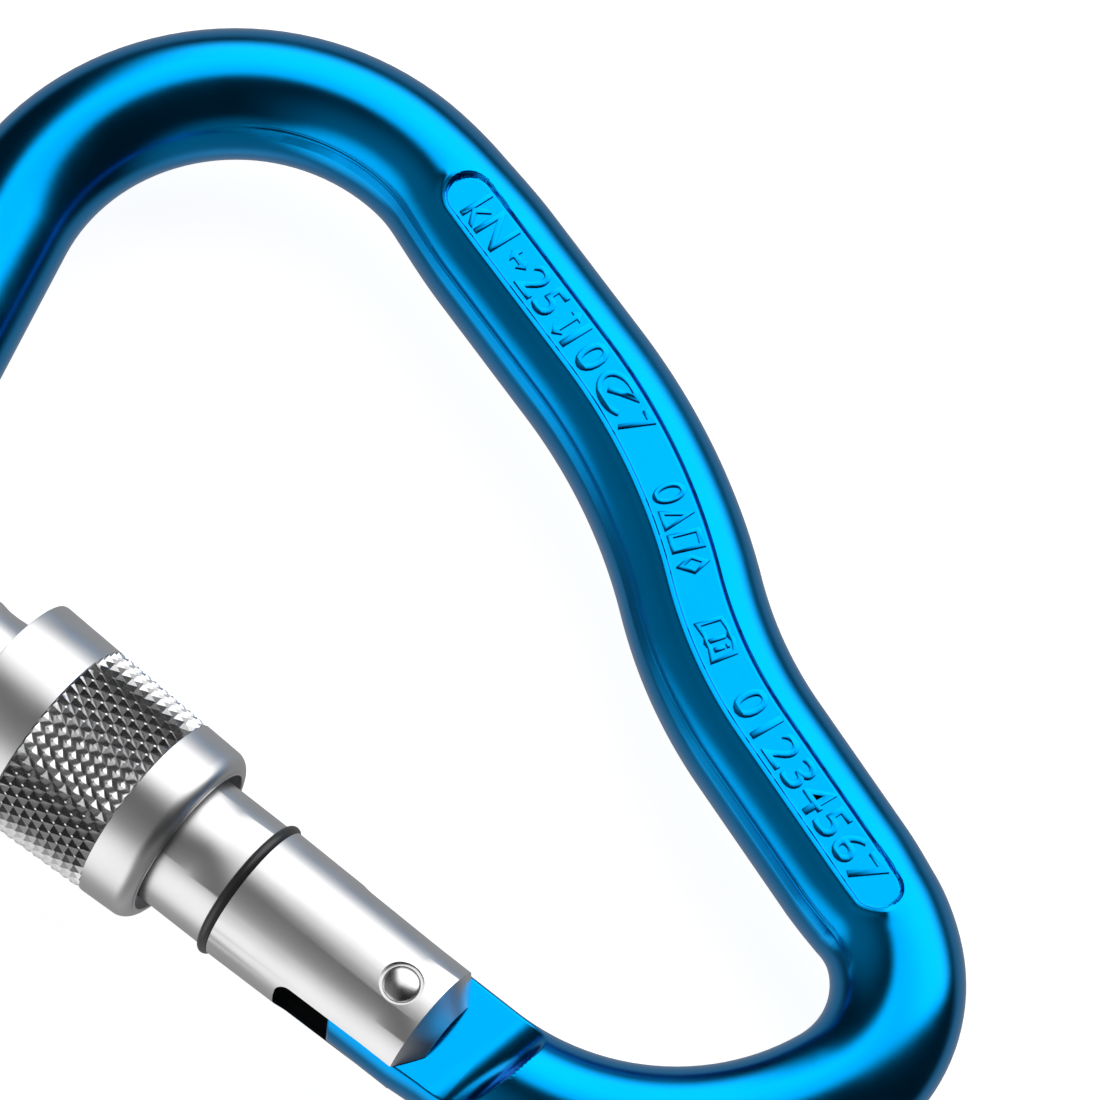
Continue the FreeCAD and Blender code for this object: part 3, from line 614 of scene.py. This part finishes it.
class CARABINER_OT_marks(bpy.types.Operator):
    """Make the raised marks in the body's panel"""

    bl_idname = "carabiner.marks"
    bl_label = "Panel marks"

    def execute(self, context):
        b = in_mm(context.scene.carabiner_body)
        m = in_mm(context.scene.carabiner_marks)
        path = rod_path()
        material = anodised_aluminium(context.scene.carabiner_finish)

        def text(body, start, end):
            return laid_along(path, b, digits(body, m.height, m.relief, m.bevel), start, end, m.height)

        def drawn(outlines, start, end, height=None):
            shapes = [flat_shape(group, m.relief, m.bevel) for group in outlines]
            return laid_along(path, b, merged(shapes), start, end, height)

        def add_marks(name, shapes):
            add_piece(name, new_mesh(name, *merged(shapes)), "frame", material)

        w = m.stroke
        across = double_arrow(3.2, 0.62, w)[:, ::-1] * [-1, 1]
        ring = arc_points((0, 0), (1.95, 1.45), 55, 325, 33)
        gate = np.vstack([[(-0.75, -0.5), (0.1, 0.3)], ring])
        strength = [
            text("kN", 3.4, 8.0), drawn([[double_arrow(2.2, 0.62, w)]], 8.9, 11.1), text("25", 11.4, 15.6),
            drawn([[across]], 16.5, 17.8), text("10", 18.2, 22.0),
            drawn([line_shape(gate, w)], 22.7, 26.8), text("7", 27.4, 28.9),
        ]
        add_marks("strength_marks", strength)

        square = [(-1, -1.3), (1, -1.3), (1, 1.3), (-1, 1.3)]
        symbols = [
            drawn([line_shape(arc_points((0, 0), (0.9, 1.35), 0, 345, 24), w, True)], 34.2, 36.0, 3.0),
            drawn([line_shape([(-1, -1.3), (1, -1.3), (0, 1.5)], w, True)], 36.4, 38.4, 3.0),
            drawn([line_shape(square, w, True)], 38.8, 40.6, 3.0),
            drawn([line_shape([(0, -1.6), (0.9, 0), (0, 1.6), (-0.9, 0)], w, True)], 41.0, 42.8, 3.0),
        ]
        half = np.array([(0, -1.0), (0.5, -0.8), (1.75, -1.15), (1.75, 1.25), (0.5, 1.55), (0, 1.3)])
        cover = np.vstack([half, half[-2:0:-1] * [-1, 1]])
        book = [
            line_shape(cover, w * 0.8, True), line_shape([(0, -0.65), (0, 0.95)], w * 0.7),
            line_shape([(0.9, -0.5), (0.9, 0.45)], w * 0.8),
            line_shape([(0.9, 0.72), (0.9, 0.95)], w * 0.8),
        ]
        symbols.append(drawn(book, 47.1, 50.9, 2.9))
        add_marks("symbol_marks", symbols)

        add_marks("number_marks", [text(context.scene.carabiner_marks.strength, 54.3, 74.3)])
        return {"FINISHED"}


# ---------------------------------------------------------------- gate
HINGE_INSET = 0.07             # mm, the barrel at its hinge end is this much thinner
DOME = 0.45                    # mm, height of a rivet head
RING_WIRE = 0.48               # mm, half the O-ring's thickness


def ring_height():
    """Height of the O-ring's middle above the rivet, in millimetres."""
    return (from_rivet("o_ring", 0, 1) + from_rivet("o_ring", 1, 1)) / 2 / MM


def barrel_profile(g, thread_rows):
    """Half outline of the gate's barrel, from the hinge end's centre to the nose end's."""
    r = g.barrel_radius
    ring, hinge, nose, root = r + 0.18, r - HINGE_INSET, r + 0.15, r - 0.45
    groove, groove_half = r - RING_WIRE, 0.51
    height = ring_height()
    thread = [(root, y) for y in thread_rows]
    return [
        (0, -5.0), (1.5, -5.0), (hinge - 2.08, -5.0), (hinge, -3.3), (hinge, 0.0),
        (ring, height - groove_half), (groove, height - groove_half),
        (groove, height + groove_half), (r, height + groove_half), (r, 20.0), (r, 26.6),
        *thread, (r, 42.5), (r, 47.0), (nose, 48.0), (nose, 50.9), (nose - 0.5, 51.4),
        (1.5, 51.4), (0, 51.4),
    ]


def thread_ripple(g, first, last):
    """Height of the thread's ridge: a rounded wave along the helix, faded out at both ends."""
    def ripple(rows, angle):
        turn = rows[:, 1:] / g.thread_pitch - angle[None, :] / (2 * np.pi)
        wave = 0.5 - 0.5 * np.cos(2 * np.pi * turn)
        crest = 0.38 * np.clip(wave * 1.5 - 0.25, 0, 1)
        ends = smooth_step((rows[:, 1:] - first) / 1.5) * smooth_step((last - rows[:, 1:]) / 1.5)
        return crest * ends
    return ripple


class CARABINER_OT_gate(bpy.types.Operator):
    """Make the gate's slotted barrel, its rivet, its latch pin and its O-ring"""

    bl_idname = "carabiner.gate"
    bl_label = "Gate"

    def execute(self, context):
        g = in_mm(context.scene.carabiner_gate)
        finish = context.scene.carabiner_finish
        rows = np.arange(27.1, 42.05, g.thread_pitch / 9)
        mesh = turned("barrel", barrel_profile(g, rows), ripple=thread_ripple(g, rows[0], rows[-1]))
        cutters = [
            turned("bore", [(0, -6), (3.8, -6), (3.8, 27.0), (0, 27.0)], 64),
            slot_block(-6.0, 8.6, 2.8, 1.2, "high"),
            slot_block(TONGUE_TIP - 0.9, 52.4, 2.8, 1.2, "low"),
            rod_along_z(RIVET_RADIUS, -FAR, FAR, 0),
            rod_along_z(PIN_RADIUS, -FAR, FAR, PIN_HEIGHT),
        ]
        sink = g.barrel_radius - HINGE_INSET - SINK_DEPTH
        cutters += [rod_along_z(SINK_RADIUS, sink, FAR, 0), rod_along_z(SINK_RADIUS, -FAR, -sink, 0)]
        mesh = with_cuts(mesh, cutters, g.edge_round)
        add_piece("gate_tube", mesh, "gate",
                  blasted_aluminium(finish, "gate"), ["gate_barrel"], sharp=35)

        rivet = dome_rivet(RIVET_RADIUS, g.barrel_radius - HINGE_INSET - DOME + 0.1, DOME)
        add_piece("rivet", rivet, "gate", polished_steel(finish), ["hinge_rivet"], sharp=40)
        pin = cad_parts["latch_pin"]
        pin.data.materials.clear()
        pin.data.materials.append(polished_steel(finish))

        middle = from_rivet("o_ring", 1, 0) / MM - RING_WIRE
        angle = np.linspace(0, 2 * np.pi, 33)[:-1]
        loop = [middle, ring_height()] + RING_WIRE * np.column_stack([np.cos(angle), np.sin(angle)])
        ring = turned("ring", loop)
        add_piece("stop_ring", ring, "gate", nitrile_rubber(finish), ["o_ring"], sharp=60)
        return {"FINISHED"}


def dome_rivet(radius, edge, dome):
    """A shank with a domed head at each end, turned round the rivet's axis.

    A head is part of a sphere of radius (r^2 + dome^2) / (2 dome), which meets the shank at
    its edge height.
    """
    ball = (radius ** 2 + dome ** 2) / (2 * dome)
    out = np.linspace(0, radius, 14)
    head = edge + dome - ball + np.sqrt(ball ** 2 - out ** 2)
    head[-3:] -= np.array([0.0, 0.01, 0.06])
    profile = np.column_stack([np.concatenate([out, out[::-1]]), np.concatenate([-head, head[::-1]])])
    mesh = turned("rivet", profile, 72)
    to_rivet = Matrix.Translation(RIVET)
    mesh.transform(to_rivet @ Matrix.Rotation(math.pi / 2, 4, "X") @ to_rivet.inverted())
    return mesh


class CARABINER_OT_spring(bpy.types.Operator):
    """Give the plunger and the spring inside the gate their finishes"""

    bl_idname = "carabiner.spring"
    bl_label = "Plunger and spring"

    def execute(self, context):
        for node, material in (("spring_plunger", turned_steel()), ("gate_spring", spring_wire())):
            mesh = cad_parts[node].data
            mesh.materials.clear()
            mesh.materials.append(material)
        return {"FINISHED"}


# ---------------------------------------------------------------- sleeve
def knurl(row_count, start, end, starts, depth, radius_at):
    """Points and faces of a band of diamond knurling on a cone.

    Even points of a lattice of half pitches lie in the grooves, and each odd one is the middle
    of a pyramid whose tip is a small diamond on the cone. Rows on the band's edges keep their
    odd points on the cone, so that the edge pyramids are cut in half.
    """
    around = 2 * starts
    rows, columns = np.meshgrid(np.arange(row_count + 1), np.arange(around), indexing="ij")
    height = start + (end - start) * rows / row_count
    odd = (rows + columns) % 2 == 1
    edge = (rows == 0) | (rows == row_count)
    radius = radius_at(height) - np.where(odd & edge, 0, depth)
    angle = 2 * np.pi * columns / around
    points = np.stack([radius * np.cos(angle), height, radius * np.sin(angle)], -1).reshape(-1, 3)
    index = np.arange(points.shape[0]).reshape(rows.shape)

    row, column = np.nonzero(odd & ~edge)
    east, west = index[row, (column + 1) % around], index[row, (column - 1) % around]
    north, south = index[row + 1, column], index[row - 1, column]
    step_y, step_a, tip = (end - start) / row_count, 2 * np.pi / around, 0.14
    tips = []
    for turn, climb in ((1, 0), (0, 1), (-1, 0), (0, -1)):
        y = start + step_y * (row + climb * tip)
        a = step_a * (column + turn * tip)
        r = radius_at(y)
        tips.append(np.column_stack([r * np.cos(a), y, r * np.sin(a)]))
    first = len(points) + np.arange(4)[:, None] * len(row) + np.arange(len(row))[None, :]
    e, n, w, s = first
    points = np.vstack([points] + tips)
    quads = np.concatenate([
        np.column_stack(corners) for corners in (
            (north, east, e, n), (west, north, n, w), (south, west, w, s), (east, south, s, e), (n, e, s, w),
        )
    ])
    faces = quads.tolist()
    for border, inner, order in ((0, 1, 1), (row_count, row_count - 1, -1)):
        column = np.nonzero(odd[border])[0]
        peak, inward = index[border, column], index[inner, column]
        east, west = index[border, (column + 1) % around], index[border, (column - 1) % around]
        pair = [np.column_stack([peak, inward, east]), np.column_stack([peak, west, inward])]
        faces += [face[::order] for face in np.concatenate(pair).tolist()]
    return points, faces, index[0], index[-1]


def turned_rows(profile, segments):
    """Points of profile rows turned round the gate's axis, row by row."""
    profile = np.asarray(profile, float)
    angle = 2 * np.pi * np.arange(segments) / segments
    ring = np.stack([np.cos(angle), np.sin(angle)])
    return np.stack([profile[:, :1] * ring[0], np.broadcast_to(profile[:, 1:], (len(profile), segments)),
                     profile[:, :1] * ring[1]], -1)


def row_faces(index):
    """Quads between neighbouring rows of a turned piece."""
    after = np.roll(index, -1, axis=1)
    return np.stack([index[:-1], index[1:], after[1:], after[:-1]], -1).reshape(-1, 4).tolist()


class CARABINER_OT_sleeve(bpy.types.Operator):
    """Make the conical locking sleeve with its diamond knurl"""

    bl_idname = "carabiner.sleeve"
    bl_label = "Sleeve"

    def execute(self, context):
        s = in_mm(context.scene.carabiner_sleeve)
        starts = context.scene.carabiner_sleeve.knurl_starts
        low, high = from_rivet("lock_sleeve", 0, 1) / MM, from_rivet("lock_sleeve", 1, 1) / MM
        wide = from_rivet("lock_sleeve", 1, 0) / MM
        narrow = wide - 0.85
        slope = math.atan2(wide - narrow, high - low)

        def cone(y):
            return narrow + (wide - narrow) * (y - low) / (high - low)

        rim = 1.5
        centre = narrow + rim * math.tan(slope) - rim / math.cos(slope)
        turn = np.linspace(-math.pi / 2, -slope, 13)
        rounded = np.column_stack([centre + rim * np.cos(turn), low + rim + rim * np.sin(turn)])
        start, end = low + s.knurl_start, low + s.knurl_start + s.knurl_length
        before = np.vstack([rounded, [[cone(start - 2), start - 2], [cone(start - 0.35), start - 0.35],
                                      [cone(start - 0.12), start - 0.12]]])
        beyond = np.array([(cone(y), y) for y in (end + 0.12, end + 0.35, end + 2.0, high - 0.3)])
        inside = np.array([
            (wide - 0.05, high - 0.08), (wide - 0.25, high), (7.5, high), (7.4, high), (7.0, high - 0.4),
            (7.0, low + 9.95), (6.25, low + 9.2), (6.25, low + 2.2), (7.1, low + 2.2), (7.18, low + 2.12),
            (7.18, low + 0.15), (7.28, low + 0.02), (7.4, low),
        ])
        segments = 2 * starts
        points, faces, first, last = knurl(KNURL_ROWS, start, end, starts, s.knurl_depth, cone)
        below = turned_rows(before, segments)
        above = turned_rows(np.vstack([beyond, inside]), segments)
        offset = len(points)
        lower = offset + np.arange(below[..., 0].size).reshape(below.shape[:2])
        upper = offset + lower.size + np.arange(above[..., 0].size).reshape(above.shape[:2])
        points = np.vstack([points, below.reshape(-1, 3), above.reshape(-1, 3)])
        faces += row_faces(np.vstack([upper, lower, first[None, :]]))
        faces += row_faces(np.vstack([last[None, :], upper[:1]]))
        mesh = new_mesh("sleeve", points, faces)
        add_piece("screw_sleeve", mesh, "sleeve",
                  blasted_aluminium(context.scene.carabiner_finish, "sleeve"), ["lock_sleeve"], sharp=24)
        return {"FINISHED"}


# ---------------------------------------------------------------- finishes
def add_node(tree, kind, inputs=None, **settings):
    """Adds a node. An input that is a socket is linked, and any other is its value."""
    made = tree.nodes.new(kind)
    for name, value in settings.items():
        setattr(made, name, value)
    for name, value in (inputs or {}).items():
        if isinstance(value, bpy.types.NodeSocket):
            tree.links.new(value, made.inputs[name])
        else:
            made.inputs[name].default_value = value
    return made


def new_material(name):
    """A material with only an output, and the object's own coordinates for its patterns."""
    material = bpy.data.materials.new(name)
    material.use_nodes = True
    tree = material.node_tree
    tree.nodes.clear()
    return material, tree, add_node(tree, "ShaderNodeTexCoord").outputs["Object"]


def per_mm(millimetres):
    """Scale of a pattern whose features are this large."""
    return 1 / (millimetres * MM)


def finished(tree, settings):
    """Ends a material in one shader with these settings."""
    shader = add_node(tree, "ShaderNodeBsdfPrincipled", settings)
    add_node(tree, "ShaderNodeOutputMaterial", {"Surface": shader.outputs["BSDF"]})


def anodised_aluminium(finish):
    """Aluminium, tumbled, bright-dipped and dyed blue in its oxide.

    The dye tints every reflection, the tumbling leaves a faint orange peel, and handling
    leaves slightly duller patches.
    """
    name = "blue_anodised_aluminium_bright_dipped"
    if name in bpy.data.materials:
        return bpy.data.materials[name]
    material, tree, place = new_material(name)
    dye = Vector(finish.anodised)
    patches = add_node(tree, "ShaderNodeTexNoise", {"Vector": place, "Scale": per_mm(9), "Detail": 3.0})
    tint = add_node(tree, "ShaderNodeValToRGB", {"Fac": patches.outputs["Fac"]})
    ramp = tint.color_ramp.elements
    ramp[0].position, ramp[1].position = 0.3, 0.7
    ramp[0].color, ramp[1].color = (*(dye * 0.93), 1), (*(dye * 1.03), 1)
    dull = add_node(tree, "ShaderNodeMapRange", {
        "Value": patches.outputs["Fac"], "From Min": 0.35, "From Max": 0.7, "To Min": 0.17, "To Max": 0.23})
    peel = add_node(tree, "ShaderNodeTexNoise", {"Vector": place, "Scale": per_mm(1.1), "Detail": 2.0})
    grain = add_node(tree, "ShaderNodeTexNoise", {"Vector": place, "Scale": per_mm(0.12), "Detail": 2.0})
    soft = add_node(tree, "ShaderNodeBump", {
        "Height": peel.outputs["Fac"], "Strength": 0.25, "Distance": 0.012 * MM})
    fine = add_node(tree, "ShaderNodeBump", {
        "Height": grain.outputs["Fac"], "Strength": 0.2, "Distance": 0.003 * MM,
        "Normal": soft.outputs["Normal"]})
    finished(tree, {"Base Color": tint.outputs["Color"], "Metallic": 1.0,
                    "Roughness": dull.outputs["Result"], "Normal": fine.outputs["Normal"]})
    return material


def blasted_aluminium(finish, which):
    """Aluminium, turned, finely blasted and clear-anodised.

    The blasting leaves a satin grain, and faint turning rings show where a reflection ends.
    """
    name = "clear_anodised_aluminium_" + {"gate": "tumbled", "sleeve": "turned"}[which]
    if name in bpy.data.materials:
        return bpy.data.materials[name]
    material, tree, place = new_material(name)
    # Real grit is about 0.05 mm, and it is drawn at 0.12 mm so that it shows.
    grit = add_node(tree, "ShaderNodeTexNoise", {"Vector": place, "Scale": per_mm(0.12), "Detail": 3.0})
    stretched = add_node(tree, "ShaderNodeMapping", {"Vector": place, "Scale": (0.02, 1.0, 0.02)})
    rings = add_node(tree, "ShaderNodeTexNoise", {
        "Vector": stretched.outputs["Vector"], "Scale": per_mm(0.25), "Detail": 2.0})
    wear = add_node(tree, "ShaderNodeTexNoise", {"Vector": place, "Scale": per_mm(5), "Detail": 3.0})
    dull = add_node(tree, "ShaderNodeMapRange", {
        "Value": wear.outputs["Fac"], "From Min": 0.35, "From Max": 0.7, "To Min": 0.34, "To Max": 0.4})
    if which == "sleeve":
        dull = burnished_band(tree, place, dull.outputs["Result"])
    lines = add_node(tree, "ShaderNodeBump", {
        "Height": rings.outputs["Fac"], "Strength": 0.25, "Distance": 0.002 * MM})
    satin = add_node(tree, "ShaderNodeBump", {
        "Height": grit.outputs["Fac"], "Strength": 0.5, "Distance": 0.006 * MM,
        "Normal": lines.outputs["Normal"]})
    finished(tree, {"Base Color": (*finish.aluminium, 1), "Metallic": 1.0,
                    "Roughness": dull.outputs["Result"], "Normal": satin.outputs["Normal"]})
    return material


def burnished_band(tree, place, dull):
    """The sleeve's gloss, sharper within the knurl, whose rolls press the metal smooth."""
    height = add_node(tree, "ShaderNodeSeparateXYZ", {"Vector": place}).outputs["Y"]
    middle = RIVET.y + from_rivet("lock_sleeve", 0, 1) + (KNURL_START + KNURL_LENGTH / 2) * MM
    off = add_node(tree, "ShaderNodeMath", {0: height, 1: middle}, operation="SUBTRACT")
    off = add_node(tree, "ShaderNodeMath", {0: off.outputs["Value"]}, operation="ABSOLUTE")
    share = add_node(tree, "ShaderNodeMapRange", {
        "Value": off.outputs["Value"], "From Min": 4.8 * MM, "From Max": 5.0 * MM})
    return add_node(tree, "ShaderNodeMapRange", {
        "Value": share.outputs["Result"], "To Min": 0.2, "To Max": dull})


def polished_steel(finish):
    """Stainless steel, headed cold and polished by the tool, with faint rub marks."""
    name = "stainless_steel_headed"
    if name in bpy.data.materials:
        return bpy.data.materials[name]
    material, tree, place = new_material(name)
    rub = add_node(tree, "ShaderNodeTexNoise", {"Vector": place, "Scale": per_mm(0.5), "Detail": 4.0})
    dull = add_node(tree, "ShaderNodeMapRange", {
        "Value": rub.outputs["Fac"], "To Min": 0.18, "To Max": 0.34})
    marks = add_node(tree, "ShaderNodeBump", {
        "Height": rub.outputs["Fac"], "Strength": 0.3, "Distance": 0.006 * MM})
    finished(tree, {"Base Color": (*finish.steel, 1), "Metallic": 1.0,
                    "Roughness": dull.outputs["Result"], "Normal": marks.outputs["Normal"]})
    return material


def nitrile_rubber(finish):
    """Nitrile rubber, moulded and lightly greased: a broad sheen and a faint mottle."""
    material, tree, place = new_material("nitrile_rubber_moulded")
    mottle = add_node(tree, "ShaderNodeTexNoise", {"Vector": place, "Scale": per_mm(0.3), "Detail": 3.0})
    shine = add_node(tree, "ShaderNodeMapRange", {
        "Value": mottle.outputs["Fac"], "To Min": 0.28, "To Max": 0.42})
    skin = add_node(tree, "ShaderNodeBump", {
        "Height": mottle.outputs["Fac"], "Strength": 0.3, "Distance": 0.008 * MM})
    finished(tree, {"Base Color": (*finish.rubber, 1), "Metallic": 0.0, "IOR": 1.52,
                    "Roughness": shine.outputs["Result"], "Normal": skin.outputs["Normal"]})
    return material


def turned_steel():
    """Free-cutting steel, turned and oiled: dark, with fine rings across the gate's axis."""
    material, tree, place = new_material("free_cutting_steel_turned")
    stretched = add_node(tree, "ShaderNodeMapping", {"Vector": place, "Scale": (0.05, 1.0, 0.05)})
    rings = add_node(tree, "ShaderNodeTexNoise", {
        "Vector": stretched.outputs["Vector"], "Scale": per_mm(0.15), "Detail": 2.0})
    cut = add_node(tree, "ShaderNodeBump", {
        "Height": rings.outputs["Fac"], "Strength": 0.4, "Distance": 0.004 * MM})
    finished(tree, {"Base Color": (*linear("#8C8C8E"), 1), "Metallic": 1.0, "Roughness": 0.3,
                    "Normal": cut.outputs["Normal"]})
    return material


def spring_wire():
    """Stainless spring wire, cold drawn: bright, with faint lengthwise streaks."""
    material, tree, place = new_material("stainless_spring_wire_drawn")
    streaks = add_node(tree, "ShaderNodeTexNoise", {"Vector": place, "Scale": per_mm(0.4), "Detail": 2.0})
    dull = add_node(tree, "ShaderNodeMapRange", {
        "Value": streaks.outputs["Fac"], "To Min": 0.2, "To Max": 0.35})
    finished(tree, {"Base Color": (*linear("#A9A9AC"), 1), "Metallic": 1.0,
                    "Roughness": dull.outputs["Result"]})
    return material


# ---------------------------------------------------------------- stage
# The camera's directions: towards it, up and across.
TO_CAMERA = Vector((-0.33159, -0.19554, 0.92294))
CAMERA_UP = Vector((0.70696, 0.59629, 0.38033))
CAMERA_RIGHT = CAMERA_UP.cross(TO_CAMERA)
CAMERA_PLACE = Vector((-200.98, -126.19, 671.90))      # mm from the rivet
LENS = 278.3                                           # mm on a 36 mm sensor
FLOOR_DROP = 9.6                                       # mm below the carabiner's plane
KEY_LEVEL, FILL_LEVEL, WALL_LEVEL, ROOM_LEVEL = 2.2, 1.1, 0.24, 0.02
BEHIND_LEVEL, BELOW_LEVEL = 0.3, 0.25


def rise(tree, value, start, end, top=1.0):
    """A level that climbs smoothly to its top while a value goes from start to end."""
    return add_node(tree, "ShaderNodeMapRange", {
        "Value": value, "From Min": start, "From Max": end, "To Min": 0.0, "To Max": top,
    }, interpolation_type="SMOOTHSTEP").outputs["Result"]


def combined(tree, operation, levels):
    """Levels multiplied or added in turn."""
    total = levels[0]
    for level in levels[1:]:
        step = add_node(tree, "ShaderNodeMath", operation=operation)
        tree.links.new(total, step.inputs[0])
        tree.links.new(level, step.inputs[1])
        total = step.outputs["Value"]
    return total


def studio(world):
    """A dim studio: a wide soft box overhead, a low fill at the left and weaker walls round it.

    Each is a soft-edged patch of the directions round the carabiner. The room itself is seen
    only by the camera, as a plain pale wall.
    """
    world.use_nodes = True
    tree = world.node_tree
    tree.nodes.clear()
    direction = add_node(tree, "ShaderNodeTexCoord").outputs["Generated"]

    def along(axis):
        facing = add_node(tree, "ShaderNodeVectorMath", operation="DOT_PRODUCT")
        tree.links.new(direction, facing.inputs[0])
        facing.inputs[1].default_value = axis
        return facing.outputs["Value"]

    def from_camera(right, up, out):
        return (CAMERA_RIGHT * right + CAMERA_UP * up + TO_CAMERA * out).normalized()

    right, up, out = along(CAMERA_RIGHT), along(CAMERA_UP), along(TO_CAMERA)
    slanted = along(CAMERA_UP + CAMERA_RIGHT * 0.35)
    overhead = combined(tree, "MULTIPLY", [
        rise(tree, slanted, 0.46, 0.62, KEY_LEVEL), rise(tree, right, -0.25, 0.0),
        rise(tree, out, -0.35, 0.1), rise(tree, out, 1.45, 0.4),
    ])
    fill = rise(tree, along(from_camera(-0.77, -0.6, 0.23)), 0.72, 0.95, FILL_LEVEL)
    wall = rise(tree, along(from_camera(-0.85, -0.1, 0.5)), 0.45, 0.95, WALL_LEVEL)
    behind = rise(tree, out, -0.3, -0.6, BEHIND_LEVEL)
    below = rise(tree, up, -0.6, -0.9, BELOW_LEVEL)
    base = add_node(tree, "ShaderNodeValue").outputs["Value"]
    base.default_value = ROOM_LEVEL
    level = combined(tree, "ADD", [overhead, fill, wall, behind, below, base])
    lit = add_node(tree, "ShaderNodeBackground", {"Color": (1, 1, 1, 1), "Strength": level})
    pale = add_node(tree, "ShaderNodeBackground", {"Color": (1, 1, 1, 1), "Strength": 0.9})
    seen = add_node(tree, "ShaderNodeLightPath").outputs["Is Camera Ray"]
    mixed = add_node(tree, "ShaderNodeMixShader", {"Fac": seen})
    tree.links.new(lit.outputs["Background"], mixed.inputs[1])
    tree.links.new(pale.outputs["Background"], mixed.inputs[2])
    add_node(tree, "ShaderNodeOutputWorld", {"Surface": mixed.outputs["Shader"]})


class CARABINER_OT_stage(bpy.types.Operator):
    """Make the floor, the studio light and the camera"""

    bl_idname = "carabiner.stage"
    bl_label = "Stage"

    def execute(self, context):
        finish = context.scene.carabiner_finish
        half, drop = 2.0, -FLOOR_DROP * MM
        mesh = bpy.data.meshes.new("floor")
        mesh.from_pydata([(-half, -half, drop), (half, -half, drop), (half, half, drop), (-half, half, drop)],
                         [], [(0, 1, 2, 3)])
        floor = new_object("floor", mesh)
        material, tree, _ = new_material("white_paper_sweep")
        finished(tree, {"Base Color": (*finish.floor, 1), "Roughness": 0.9,
                        "Emission Color": (1, 1, 1, 1), "Emission Strength": 0.9})
        mesh.materials.append(material)
        floor.visible_glossy = False
        floor.visible_shadow = False

        context.scene.world = bpy.data.worlds.new("studio")
        studio(context.scene.world)

        camera = bpy.data.cameras.new("camera")
        camera.lens, camera.sensor_width = LENS, 36
        camera.clip_start, camera.clip_end = 0.05, 20
        made = bpy.data.objects.new("camera", camera)
        context.scene.collection.objects.link(made)
        turn = Matrix((CAMERA_RIGHT, CAMERA_UP, TO_CAMERA)).transposed().to_4x4()
        made.matrix_world = Matrix.Translation(CAMERA_PLACE * MM + RIVET) @ turn
        context.scene.camera = made
        context.scene.view_settings.view_transform = "Standard"
        return {"FINISHED"}


# ---------------------------------------------------------------- add-on
def in_mm(group):
    """A group's lengths in millimetres."""
    lengths = [key for key in group.__annotations__ if isinstance(getattr(group, key), float)]
    return SimpleNamespace(**{key: getattr(group, key) / MM for key in lengths})


GROUPS = {
    "carabiner_body": BodySizes, "carabiner_marks": MarkSizes, "carabiner_gate": GateSizes,
    "carabiner_sleeve": SleeveSizes, "carabiner_finish": Finishes,
}
OPERATORS = (CARABINER_OT_body, CARABINER_OT_marks, CARABINER_OT_gate, CARABINER_OT_spring,
             CARABINER_OT_sleeve, CARABINER_OT_stage)


class CARABINER_PT_panel(bpy.types.Panel):
    """Sizes, colours and pieces of the carabiner"""

    bl_idname = "CARABINER_PT_panel"
    bl_label = "Locking carabiner"
    bl_space_type = "VIEW_3D"
    bl_region_type = "UI"
    bl_category = "Carabiner"

    def draw(self, context):
        for operator in OPERATORS:
            self.layout.operator(operator.bl_idname)
        for name, group in GROUPS.items():
            box = self.layout.box()
            for key in group.__annotations__:
                box.prop(getattr(context.scene, name), key)


def register():
    for item in (*GROUPS.values(), *OPERATORS, CARABINER_PT_panel):
        bpy.utils.register_class(item)
    for name, group in GROUPS.items():
        setattr(bpy.types.Scene, name, PointerProperty(type=group))


def unregister():
    for name in GROUPS:
        delattr(bpy.types.Scene, name)
    for item in reversed((*GROUPS.values(), *OPERATORS, CARABINER_PT_panel)):
        bpy.utils.unregister_class(item)


def main():
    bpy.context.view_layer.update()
    register()
    bpy.ops.carabiner.body()
    bpy.ops.carabiner.marks()
    bpy.ops.carabiner.gate()
    bpy.ops.carabiner.spring()
    bpy.ops.carabiner.sleeve()
    bpy.ops.carabiner.stage()


if __name__ == "__main__":
    main()
